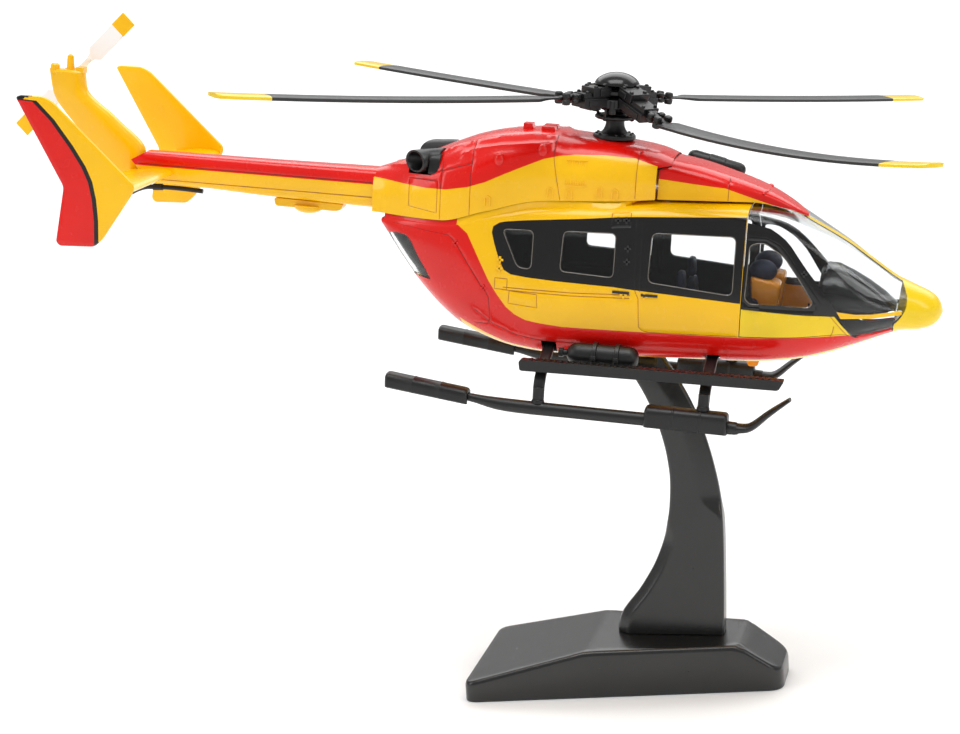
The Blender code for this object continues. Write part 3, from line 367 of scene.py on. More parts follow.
# ---- curves and skins -----------------------------------------------------------------------
def curve(*points):
    """Smooth curve through a few (x, value) points that never overshoots them."""
    xs, ys = [p[0] for p in points], [p[1] for p in points]
    slopes = [(ys[i + 1] - ys[i]) / (xs[i + 1] - xs[i]) for i in range(len(xs) - 1)]
    tangents = [slopes[0]]
    for left, right in zip(slopes, slopes[1:]):
        tangents.append(2 * left * right / (left + right) if left * right > 0 else 0.0)
    tangents.append(slopes[-1])
    knots, values, tangents = np.array(xs), np.array(ys), np.array(tangents)

    def value(x):
        x = np.clip(x, knots[0], knots[-1])
        i = np.clip(np.searchsorted(knots, x, side="right") - 1, 0, len(knots) - 2)
        h = knots[i + 1] - knots[i]
        t = (x - knots[i]) / h
        return (values[i] * (1 + 2 * t) * (1 - t) ** 2 + tangents[i] * h * t * (1 - t) ** 2
                + values[i + 1] * t * t * (3 - 2 * t) - tangents[i + 1] * h * t * t * (1 - t))

    return value


def ramp(x, start, end):
    t = np.clip((x - start) / (end - start), 0.0, 1.0)
    return t * t * (3 - 2 * t)


class Skin:
    """Half surface: a quadratic B-spline section at every station, from crown (0) to foot (1)."""

    def __init__(self, controls, arc, closed_foot=True):
        self.controls, self.arc, self.closed_foot = controls, arc, closed_foot

    def section(self, x, t):
        rows = [np.broadcast_arrays(np.asarray(y, float) + 0 * x, np.asarray(z, float) + 0 * x)
                for y, z in self.controls(x)]
        rows = [(-rows[0][0], rows[0][1])] + rows
        rows += [(-rows[-1][0], rows[-1][1])] if self.closed_foot else [rows[-1]]
        ys, zs = np.array([r[0] for r in rows]), np.array([r[1] for r in rows])
        spans = len(rows) - 2
        at = np.clip(t, 0, 1) * spans
        i = np.clip(at.astype(int), 0, spans - 1)
        u = at - i
        column = np.arange(len(x))
        weights = (0.5 * (1 - u) ** 2, 0.5 + u - u * u, 0.5 * u * u)
        y = sum(w * ys[i + k, column] for k, w in enumerate(weights))
        z = sum(w * zs[i + k, column] for k, w in enumerate(weights))
        return y, z

    def points(self, x, t):
        x, t = np.asarray(x, float), np.asarray(t, float)
        y, z = self.section(x, t)
        return np.stack([x, y, z], 1)

    def normals(self, x, t):
        e = 0.02
        along = self.points(x + e, t) - self.points(x - e, t)
        down = self.points(x, np.minimum(t + 0.002, 1)) - self.points(x, np.maximum(t - 0.002, 0))
        normal = np.cross(along, down)
        return normal / np.maximum(np.linalg.norm(normal, axis=1), 1e-9)[:, None]

    def share(self, x, z):
        """Share from crown to foot at which the section is at height z."""
        grid = np.linspace(0, 1, 240)
        out = []
        for xi, zi in zip(np.atleast_1d(x), np.atleast_1d(z)):
            _, heights = self.section(np.full(240, xi), grid)
            out.append(np.interp(-zi, -heights, grid))
        return np.array(out)

    def line(self, points, step=0.8):
        """A side-view line of (x, z) points as closely spaced (x, arc) points on the skin."""
        dense = resampled(points, step)
        xs = np.array([p[0] for p in dense])
        return [(x, s * self.arc) for x, s in zip(xs, self.share(xs, [p[1] for p in dense]))]

    def wall(self, x, z):
        """Half width at a station and a height."""
        x = np.atleast_1d(np.asarray(x, float))
        return self.section(x, self.share(x, np.atleast_1d(z)))[0]


def pad(skin, outline, rise):
    """Closed raised shape over a side-view outline, following the skin."""
    x, z = (np.array([p[k] for p in outline], float) for k in (0, 1))
    share = skin.share(x, z)
    points, normals = skin.points(x, share), skin.normals(x, share)
    return loft([[tuple(p) for p in points - normals * 0.4],
                 [tuple(p) for p in points + normals * rise]])


def beside(path, distance):
    """Path moved sideways by a distance, to its left where that is positive."""
    out = []
    for i, here in enumerate(path):
        ahead = Vector(path[min(i + 1, len(path) - 1)]) - Vector(path[max(i - 1, 0)])
        ahead.normalize()
        out.append((here[0] - ahead.y * distance, here[1] + ahead.x * distance))
    return out


def strip_outline(path, half):
    """Side-view outline of a narrow strip along a path."""
    return beside(path, half) + beside(path, -half)[::-1]


def read_line(line, at, axis=0):
    """Other coordinate of a line of 2-D points, where the one on the given axis has a value."""
    columns = np.array(line, float).T
    return np.interp(at, columns[axis], columns[1 - axis])


def resampled(points, step):
    out = [tuple(points[0])]
    for a, b in zip(points, points[1:]):
        count = max(1, math.ceil(math.dist(a, b) / step))
        out += [tuple(p + (q - p) * k / count for p, q in zip(a, b)) for k in range(1, count + 1)]
    return out


def closed(points):
    return list(points) + [points[0]]


def inside(x, y, polygon):
    """Which points lie in a polygon."""
    hit = np.zeros(len(x), bool)
    for (x0, y0), (x1, y1) in zip(polygon, polygon[1:] + polygon[:1]):
        if y0 != y1:
            crosses = (y0 > y) != (y1 > y)
            hit ^= crosses & (x < (x1 - x0) * (y - y0) / (y1 - y0) + x0)
    return hit


def gap_to(x, y, lines):
    """Distance of points to the nearest of several lines."""
    best = np.full(len(x), 1e9)
    for line in lines:
        for (x0, y0), (x1, y1) in zip(line, line[1:]):
            dx, dy = x1 - x0, y1 - y0
            t = np.clip(((x - x0) * dx + (y - y0) * dy) / max(dx * dx + dy * dy, 1e-12), 0, 1)
            best = np.minimum(best, np.hypot(x - x0 - t * dx, y - y0 - t * dy))
    return best


GROOVE, GROOVE_DEPTH = 0.24, 0.06                # width and depth of an engraved line
ON_CENTRE = 2e-3                                 # half width at which two halves join


def triangulate(area, step, borders, grooves):
    """Triangles over a rectangle of (x, arc) that follow every border and groove line."""
    (x0, s0), (x1, s1) = area
    edge = resampled(closed([(x0, s0), (x1, s0), (x1, s1), (x0, s1)]), step)
    sides = [beside(line, sign * GROOVE / 2) for line in grooves for sign in (1, -1)]
    lines = [edge] + list(borders) + list(grooves) + sides
    xs = np.arange(x0 + step / 2, x1, step)
    ss = np.arange(s0 + step / 2, s1, step)
    gx, gs = (g.ravel() for g in np.meshgrid(xs, ss))
    free = gap_to(gx, gs, lines) > step * 0.4
    points, edges = [], []
    for line in lines:
        start = len(points)
        kept = [(min(max(px, x0), x1), min(max(ps, s0), s1)) for px, ps in line]
        points += kept
        edges += [(start + i, start + i + 1) for i in range(len(kept) - 1)]
    points += list(zip(gx[free], gs[free]))
    verts, _, faces, *_ = delaunay_2d_cdt([Vector(p) for p in points], edges, [], 0, 1e-4)
    flat = np.array([(v.x, v.y) for v in verts])
    tris = np.array([f for f in faces if len(f) == 3])
    a, b, c = (flat[tris[:, k]] for k in range(3))
    turn = (b - a)[:, 0] * (c - a)[:, 1] - (b - a)[:, 1] * (c - a)[:, 0]
    tris[turn < 0] = tris[turn < 0][:, ::-1]
    return flat, tris[np.abs(turn) > 1e-7]


def open_edges(tris):
    """Edges that only one triangle has, in that triangle's direction."""
    seen = dict.fromkeys((p, q) for a, b, c in tris for p, q in ((a, b), (b, c), (c, a)))
    return [(p, q) for p, q in seen if (q, p) not in seen]


class Patch:
    """A skin cut along its lines into labelled triangles."""

    def __init__(self, skin, area, step, label, borders=(), grooves=(), relief=None):
        self.skin = skin
        flat, tris = triangulate(area, step, borders, grooves)
        x, t = flat[:, 0], flat[:, 1] / skin.arc
        self.normal = skin.normals(x, t)
        near = gap_to(flat[:, 0], flat[:, 1], grooves) if grooves else np.full(len(flat), 9.0)
        depth = GROOVE_DEPTH * np.clip(1 - near / (GROOVE / 2), 0, 1)
        if relief:
            depth = depth - relief(flat[:, 0], flat[:, 1])
        self.points = skin.points(x, t) - self.normal * depth[:, None]
        middle = flat[tris].mean(1)
        self.labels = label(middle[:, 0], middle[:, 1])
        if grooves:
            self.seam = gap_to(middle[:, 0], middle[:, 1], grooves) < GROOVE / 2
        else:
            self.seam = np.zeros(len(tris), bool)
        self.tris = tris

    def shell(self, name, keep, materials, thickness, inner=0, **more):
        """The triangles whose label is kept, as a thick sheet on both sides of the object.

        keep maps labels to materials; inner is the material of the inner face and the rims.
        """
        chosen = np.isin(self.labels, list(keep))
        tris = self.tris[chosen]
        index = np.array([keep[k] for k in self.labels[chosen]], int)
        seam = self.seam[chosen]
        for i, material in enumerate(list(materials)):
            # groove triangles take the darker copy of their paint: painted shade in the engraved lines
            shaded_groove = seam & (index == i)
            if material.name in GROOVE_SHADES and shaded_groove.any():
                materials = materials + [GROOVE_SHADES[material.name]]
                index[shaded_groove] = len(materials) - 1
        used, tris = np.unique(tris, return_inverse=True)
        tris = tris.reshape(-1, 3)
        outer = self.points[used]
        inside_points = outer - self.normal[used] * thickness
        inside_points[:, 1] = np.maximum(inside_points[:, 1], 0.0)
        count = len(outer)
        flip = np.array([1, -1, 1])
        outer = np.vstack([outer, outer * flip])
        inside_points = np.vstack([inside_points, inside_points * flip])
        tris = np.vstack([tris, tris[:, ::-1] + count])
        index = np.concatenate([index, index])
        middle_line = {}
        remap = np.arange(len(outer))
        for i, (px, py, pz) in enumerate(outer):
            if abs(py) < ON_CENTRE:
                remap[i] = middle_line.setdefault((round(px, 3), round(pz, 3)), i)
        tris = remap[tris]
        rims = open_edges(tris)
        shift = len(outer)
        verts = np.vstack([outer, inside_points])
        faces = [tuple(t) for t in tris] + [tuple(t[::-1] + shift) for t in tris]
        faces += [(q, p, p + shift, q + shift) for p, q in rims]
        faces_index = list(index) + [inner] * (len(index) + len(rims))
        make(name, verts, faces, materials, faces_index, **more)


# ---- the pod: fuselage and canopy -----------------------------------------------------------
pod_width = curve((-61.5, 7.2), (-58, 9.8), (-50, 13.6), (-40, 16.7), (-28, 19.0), (-12, 20.2),
                  (5, 20.4), (38, 20.4), (50, 19.3), (60, 16.6), (70, 12.4), (76, 9.3), (80, 7.7))
pod_top = curve((-61.5, -36.6), (-55, -35.6), (-43, -34.9), (-31, -31.4), (-16.5, -27.6),
                (4, -26.3), (13, -25.4), (38, -24.7), (48, -26.3), (54, -28.9), (63.7, -33.7),
                (71, -38.3), (77.2, -42.1), (80, -43.4))
pod_bottom = curve((-61.5, -38.6), (-59, -42.4), (-53.8, -49.6), (-48.7, -55.6), (-43.6, -60.5),
                   (-38.2, -64.3), (-32, -66.8), (-22, -68.8), (-12, -69.3), (0, -69.0),
                   (20, -67.9), (43, -66.7), (56, -64.9), (62, -63.3), (68, -61.0), (77, -57.2),
                   (80, -56.0))
TAIL_SECTION = ((0.72, 0.0), (0.97, 0.0), (1.0, 0.10), (1.02, 0.36), (0.93, 0.68), (0.68, 0.91),
                (0.26, 1.0))
CABIN_SECTION = ((0.45, 0.0), (0.86, 0.03), (0.915, 0.18), (1.01, 0.53), (1.01, 0.74),
                 (0.90, 0.937), (0.44, 1.0))
NOSE_SECTION = ((0.23, 0.0), (0.64, 0.10), (0.924, 0.28), (1.026, 0.50), (0.924, 0.72),
                (0.64, 0.90), (0.23, 1.0))
CANOPY_REAR, CANOPY_FRONT, POD_REAR = 38.8, 80.5, -61.5
nose_joint = curve((-60, 77.2), (-54.2, 77.3), (-52.6, 78.6), (-51, 79.5), (-48.5, 80.3),
                   (-46, 80.3), (-44.4, 79.8), (-43, 79.0), (-41, 77.2), (-36, 77.2))
LEGS = (-11.7, 31.8)


def pod_controls(x):
    width, top, bottom = pod_width(x), pod_top(x), pod_bottom(x)
    cabin, nose = ramp(x, -46, -14), ramp(x, 44, 79)
    rows = []
    for tail_c, cabin_c, nose_c in zip(TAIL_SECTION, CABIN_SECTION, NOSE_SECTION):
        part = [t + (c - t) * cabin for t, c in zip(tail_c, cabin_c)]
        y, z = [p + (n - p) * nose for p, n in zip(part, nose_c)]
        rows.append((y * width, top + z * (bottom - top)))
    return rows


POD_ARC = 66.0
POD = Skin(pod_controls, POD_ARC)
canopy_edge = curve((38, -57.9), (52, -57.3), (65.5, -56.4), (68.5, -57.6), (80, -55.0))

WINDOWS = (
    arc_corners(((-25.6, -34.9), (-17.1, -34.6), (-17.1, -44.8), (-20.9, -44.6)), 1.6),
    arc_corners(((-9.0, -34.1), (4.9, -33.6), (4.9, -45.1), (-9.4, -44.6)), 1.5),
    arc_corners(((14.4, -32.7), (36.3, -32.0), (36.3, -47.2), (14.1, -45.5)), 1.7),
)
DOOR_WINDOW = arc_corners(((39.9, -33.6), (43.6, -32.9), (48.8, -36.2), (52.6, -41.2),
                           (57.0, -47.8), (56.0, -49.1), (41, -48.9), (39.6, -47.6)), 1.4)
REAR_WINDOW = ((-55.5, -39.4), (-53.0, -39.7), (-51.5, -41.2), (-49.3, -45.0), (-47.0, -48.5),
               (-45.6, -51.0), (-52.6, -50.6), (-60.3, -40.1))
BAND = ((-28.4, -36.0), (-28.1, -34.4), (-26.5, -33.3), (-25, -32.9), (-20, -32.2), (-10, -31.1),
        (-5, -30.6), (5, -29.4), (10, -28.9), (38.6, -26.9), (38.6, -49.0), (10, -47.8),
        (5, -47.5), (-10, -47.3), (-18, -47.0), (-22.5, -46.6), (-24.5, -45.6), (-26, -43),
        (-27.5, -39))
SWEEP = ((-41.5, -34.9), (-38, -35.0), (-35.2, -37.0), (-33.5, -40.0), (-31.0, -44.5),
         (-28.5, -49.0), (-26.0, -52.5), (-23.5, -55.5), (-21.0, -57.3), (-18, -58.5), (-14, -59.0),
         (-8, -59.4), (10, -59.0), (24, -58.6), (38.8, -58.1), (66.9, -56.6), (69.5, -57.6))
BELLY = ((-37.5, -60.9), (-36, -61.6), (-30, -64), (-24, -66), (-15, -67), (10, -66.8),
         (38, -65.2), (56, -63.0), (68, -59.8), (77.2, -56.6))
PILLAR = ((38.6, -28.1), (42, -28.6), (45, -29.3), (47, -30.5), (49, -32), (50.5, -33.6),
          (52.5, -36.3), (55, -39.6), (58, -43.2), (60, -46), (62, -48.5), (63.6, -50.8),
          (62.6, -51.3), (56, -51.2), (38.6, -50.4))
DOOR_PANEL = ((38.6, -50.4), (56, -51.2), (62.6, -51.3), (67.2, -57.2), (66.0, -60), (38.6, -60))
SILL = ((63.1, -50.1), (68, -50.8), (72, -50.8), (79.4, -49.9), (79.4, -51.0), (72, -51.95),
        (64.2, -51.95))
PILLAR_FRAME = ((39.2, -31.5), (44, -31.6), (47.6, -33.2), (50.2, -35.9), (54.2, -41.4),
                (58.7, -47.3), (61.6, -51.3), (66.2, -56.9))
PANEL_LINES = (
    ((-57, -36.9), (-40.5, -38), (-38.3, -39.8), (-37.5, -41), (-30.5, -50.7), (-29.6, -51.4),
     (-28.4, -53.5), (-28.0, -59.5), (-28.7, -61), (-32.8, -61.3)),
    closed(((-22.7, -51.0), (-15.2, -51.3), (-14.9, -54.8), (-22.9, -54.4))),
    closed(((-26.8, -47.9), (-23.4, -47.9), (-23.4, -50.8), (-26.8, -50.8))),
    ((-24.5, -50.2), (-6, -50.0), (9.6, -49.2)),
    ((-24.5, -50.9), (-6, -50.8), (9.6, -50.1)),
    ((10.0, -29.6), (10.9, -48), (11.9, -50), (12.4, -57.6), (13.4, -58.5), (15, -58.8),
     (38.4, -57.9)),
    ((11.6, -30.4), (12.2, -48.2)),
    ((-32.5, -57.3), (-27, -60.8), (-20.5, -63), (-15, -63.7), (-3, -63.6)),
    closed(((3.4, -28.6), (8.4, -28.1), (8.6, -31.7), (3.6, -32.2))),
)
CANOPY_LINES = (
    PILLAR_FRAME,
    ((40.2, -32.6), (44, -32.5), (47.0, -34.0), (49.6, -36.9), (53.3, -41.9), (57.9, -48.2),
     (57.6, -49.9), (41, -49.8), (39.7, -48.6)),
    ((62.6, -54.0), (62.4, -55.6), (61.8, -57.0)),
)
CROWN_STRIPE, CROWN_START = 1.7, 50.0            # half width and rear end of the crown stripe
CANOPY_SLIT = 0.2
PEG_HOLE = closed([(5.6, 62.4), (14.4, 62.4), (14.4, POD_ARC), (5.6, POD_ARC)])    # x and arc
LEG_SLOT_HALF, LEG_SLOT_TOP, LEG_SLOT_FOOT = 2.0, -63.9, -67.2
OPEN, GAP_LABEL = -1, -2
UPPER, LOWER, WINDOW_BAND, DOOR, GLASS, PILLAR_SKIN, DOOR_GLASS, SILL_SKIN, CROWN = range(9)


def arc_at_width(skin, x, width):
    """Arc near the crown at which the section at x is as wide as given."""
    grid = np.linspace(0, 0.5, 300)
    ys, _ = skin.section(np.full(len(grid), float(x)), grid)
    return float(np.interp(width, ys, grid)) * skin.arc


def make_pod():
    rear_door = POD.line(closed(REAR_WINDOW))
    panes = [POD.line(closed(w)) for w in WINDOWS]
    cockpit_pane = POD.line(closed(DOOR_WINDOW))
    band, pillar = POD.line(closed(BAND)), POD.line(closed(PILLAR))
    door, sill = POD.line(closed(DOOR_PANEL)), POD.line(closed(SILL))
    sweep, belly = POD.line(SWEEP), POD.line(BELLY)
    edge = POD.line([(x, canopy_edge(x)) for x in np.linspace(CANOPY_REAR, CANOPY_FRONT, 60)])
    rear_edge = [(CANOPY_REAR, s) for s in np.linspace(0, edge[0][1], 50)]
    stripe = [(x, arc_at_width(POD, x, CROWN_STRIPE * ramp(x, 44, 56)))
              for x in np.linspace(CROWN_START, CANOPY_FRONT, 30)]
    red = [(-70, -5), (SWEEP[0][0], -5)] + sweep + [(90, edge[-1][1])] + [(90, belly[-1][1])]
    red += belly[::-1] + [(BELLY[0][0], 80), (-70, 80)]       # closed well outside the skin
    legs = []
    for x in LEGS:
        top, foot = (POD.share(x, z)[0] * POD_ARC for z in (LEG_SLOT_TOP, LEG_SLOT_FOOT))
        legs.append(closed([(x - LEG_SLOT_HALF, top), (x + LEG_SLOT_HALF, top),
                            (x + LEG_SLOT_HALF, foot), (x - LEG_SLOT_HALF, foot)]))
    joint = POD.line([(float(nose_joint(z)), z) for z in np.linspace(-57.5, -41.2, 40)])
    joint = [(77.2, POD_ARC)] + joint[1:-1] + [(77.2, 0)]
    frame_lines = [POD.line(PILLAR_FRAME)]

    def label(x, s):
        glass = (x > CANOPY_REAR) & (s < read_line(edge, x))
        out = np.where(inside(x, s, red), LOWER, UPPER)
        out[inside(x, s, band) & ~glass] = WINDOW_BAND
        for hole in (*panes, rear_door, *legs, PEG_HOLE):
            out[inside(x, s, hole[:-1])] = OPEN
        out[glass] = GLASS
        for outline, value in ((door, DOOR), (pillar, PILLAR_SKIN), (cockpit_pane, DOOR_GLASS),
                               (sill, SILL_SKIN)):
            out[glass & inside(x, s, outline)] = value
        out[glass & (x > CROWN_START) & (s < read_line(stripe, x))] = CROWN
        out[x > read_line(joint[::-1], s, axis=1)] = OPEN
        out[gap_to(x, s, [rear_edge, edge]) < CANOPY_SLIT / 2] = GAP_LABEL
        return out

    rims = [POD.line(closed(grown(w, -0.75))) for w in (*WINDOWS, DOOR_WINDOW)]

    def relief(x, s):
        """The cockpit pane set out with a rolled rim, and a ridge along the door frame."""
        out = np.zeros(len(x))
        within = inside(x, s, cockpit_pane[:-1])
        deep = np.clip(gap_to(x, s, [cockpit_pane]) / 0.9, 0, 1)
        out[within] = -0.35 * deep[within]
        ridge = gap_to(x, s, frame_lines)
        return out + 0.16 * np.clip(1 - ridge / 0.8, 0, 1) * (x > CANOPY_REAR + 0.4)

    gap_sides = []
    for shift in (CANOPY_SLIT / 2, -CANOPY_SLIT / 2):
        gap_sides.append([(x, s + shift) for x, s in edge])
        gap_sides.append([(CANOPY_REAR + shift, s) for _, s in rear_edge])
    patch = Patch(POD, ((POD_REAR, 0), (CANOPY_FRONT, POD_ARC)), 1.25, label,
                  borders=[rear_door, band, pillar, door, sill, stripe, sweep, belly, joint,
                           *panes, cockpit_pane, rims[-1], *legs, PEG_HOLE, *gap_sides],
                  grooves=[POD.line(p) for p in PANEL_LINES + CANOPY_LINES], relief=relief)
    patch.shell("fuselage", {UPPER: 0, LOWER: 1, WINDOW_BAND: 2}, [YELLOW, RED, BLACK_GLOSS, DARK], 1.2,
                inner=3, replaces=["fuselage_shell"], slot="yellow_paint")
    patch.shell("canopy_glass", {GLASS: 0, DOOR_GLASS: 0}, [CLEAR], 0.8, replaces=["canopy"], slot="clear")
    patch.shell("canopy_frame", {PILLAR_SKIN: 0, SILL_SKIN: 1, CROWN: 2},
                [BLACK_GLOSS, YELLOW, LEMON, DARK], 0.85, inner=3, slot="black_plastic")
    # the inner faces take the lemon paint's shaded orange: painted shade
    patch.shell("cockpit_door_panels", {DOOR: 0}, [LEMON, ORANGE_AND_SHADED_LEMON], 0.85, inner=1,
                slot="lemon_paint")

    glazing = Patch(POD, ((POD_REAR, 0), (CANOPY_REAR, POD_ARC)), 1.1,
                    lambda x, s: np.select([inside(x, s, p[:-1]) for p in (*panes, rear_door)],
                                           [1, 1, 1, 2], OPEN),
                    borders=[*panes, rear_door, *rims[:-1]],
                    relief=lambda x, s: -0.1 - 0.35 * np.clip(gap_to(x, s, panes) / 0.8, 0, 1)
                    * (x > -30))
    glazing.shell("side_windows", {1: 0}, [CLEAR], 0.9,
                  replaces=["side_glazing_left", "side_glazing_right"], slot="clear")
    glazing.shell("rear_windows", {2: 0}, [CLEAR], 0.9, replaces=["tail_glazing"], slot="clear")


def make_window_rims():
    # grey tubes along each window outline: painted shade at the clear panes' edges
    pile = Pile(RIM)
    for outline in (*WINDOWS, DOOR_WINDOW):
        path = closed(outline) + [outline[1]]
        x, z = (np.array([p[k] for p in path], float) for k in (0, 1))
        share = POD.share(x, z)
        path = [tuple(p) for p in POD.points(x, share) - POD.normals(x, share) * 0.02]
        pile.add_pair(tube(path, 0.13, 8))
    pile.make("window_rims", slot="clear")


def make_radome():
    top = curve((77.4, -42.3), (80, -43.3), (82.3, -44.2), (86.8, -46.1), (88.9, -48.2),
                (89.7, -50.4))
    foot = curve((77.4, -57.0), (79.8, -56.3), (82.2, -56.1), (86.2, -55.1), (88.8, -53.0),
                 (89.7, -50.8))
    wide = curve((77.4, 8.8), (80, 7.9), (84, 6.6), (87, 4.9), (88.9, 2.7), (89.7, 0.4))
    rear, nose, gap = 77.45, 89.65, 0.15
    rings = []
    for x in (rear, 78, 79, 80.5, 82, 83.5, 85, 86.3, 87.4, 88.3, 89, 89.4, nose):
        ring = []
        for a in circle(40):
            c, s = math.cos(a), math.sin(a)
            z = (top(x) + foot(x)) / 2 + (top(x) - foot(x)) / 2 * s
            start = float(nose_joint(z)) + gap
            here = start + (x - rear) * (nose - start) / (nose - rear)
            middle, tall = (top(here) + foot(here)) / 2, (top(here) - foot(here)) / 2
            ring.append((here, wide(here) * c * abs(c) ** -0.08 if c else 0.0,
                         middle + tall * s))
        rings.append(ring)
    xs = np.linspace(68.4, 77.0, 14)
    zs = np.array([float(canopy_edge(x)) + 0.55 for x in xs])
    lip = [tuple(p) for p in POD.points(xs, POD.share(xs, zs))]
    shape = tube(lip, [0.12] + [0.42] * 12 + [0.3], 10, [0.12] + [0.3] * 12 + [0.2])
    Pile(RED).add_pair(shape).make("chin_lips", slot="red_paint")
    make("radome", *loft(rings), [LEMON], replaces=["nose_radome"], slot="lemon_paint")


# ---- cowling and roof -----------------------------------------------------------------------
cowl_top = curve((-64.5, -23.8), (-58, -21.4), (-50, -18.4), (-42, -14.9), (-36, -12.6),
                 (-28, -10.8), (-18, -10.0), (-8, -10.6), (2, -11.4), (9, -12.2), (13.5, -13.1),
                 (17.2, -14.4))
cowl_bottom = curve((-64.5, -35.2), (-55, -34.9), (-43, -34.4), (-31, -30.9), (-16.5, -27.1),
                    (4, -25.8), (13, -24.9), (16.8, -24.6))
cowl_width = curve((-64.5, 6.2), (-61, 7.6), (-55, 10.9), (-50, 13.1), (-40, 16.0), (-30, 16.8),
                   (-16, 15.9), (0, 14.8), (13, 13.6), (17.2, 12.2))
COWL_SECTION = ((0.26, 0.0), (0.66, 0.06), (0.90, 0.24), (1.0, 0.52), (1.0, 0.80), (1.0, 1.0))
COWL_REAR, COWL_FRONT, LIP_FRONT = -64.5, 13.8, 17.2
COWL_ARC, ROOF_ARC = 32.0, 20.0
fairing_top = curve((14.2, -14.6), (17.4, -15.0), (24, -16.1), (31, -17.9), (38, -19.9),
                    (43.4, -21.9), (49, -24.8), (53, -27.4))
fairing_width = curve((14.2, 11.7), (26, 10.9), (34, 9.5), (43, 6.9), (49, 4.6), (52, 2.6),
                      (53, 1.2))

S_CURVE = ((-64.5, -25.8), (-58, -26), (-48, -26.3), (-42, -26), (-36, -24.8), (-31, -23),
           (-26, -20.5), (-21, -18.2), (-16, -16), (-12, -15), (-8, -14.5), (0, -14.2), (8, -14.6),
           (13.8, -16.2))
COWL_LINES = (
    ((-35, -13.4), (-35.1, -24), (-35.1, -32.2)),
    ((-13.4, -10.9), (-13.4, -15), (-11.0, -26.5)),
    closed(((-53, -24.2), (-44.4, -24.2), (-44.4, -32.6), (-52.8, -31.8))),
    ((-43.4, -19.0), (-43.4, -34.2)),
    ((8.7, -13.2), (8.6, -24.8)),
    ((-35, -18.6), (-47, -22.4)),
)
VENTS = ((-30.2, -27.6), (-13.7, -24.3), (-8.7, -24.3), (-0.8, -23.3), (3.3, -23.6))
RIDGES = (
    ((-44, -17.0), (-40, -14.9), (-35, -13.4), (-28, -11.9), (-20, -11.0), (-14, -10.9)),
    ((-38, -16.6), (-33, -14.7), (-28, -13.7), (-20, -12.7), (-14, -12.3)),
    ((-60, -22.6), (-54, -21.4), (-47, -19.6)),
)
LOUVRE_REAR, LOUVRE_FRONT, LOUVRE_TOP, LOUVRE_FOOT = -9.6, -4.6, -16.2, -22.0


def cowl_controls(x):
    width, top, bottom = cowl_width(x), cowl_top(x), cowl_bottom(x)
    return [(y * width, top + z * (bottom - top)) for y, z in COWL_SECTION]


def fairing_controls(x):
    half, top = fairing_width(x), fairing_top(x)
    tall = top - (pod_top(x) + 0.4)
    return [(y * half, top - z * tall) for y, z in
            ((0.26, 0.0), (0.66, 0.02), (0.93, 0.2), (0.99, 0.5), (1.0, 0.8), (1.02, 1.0))]


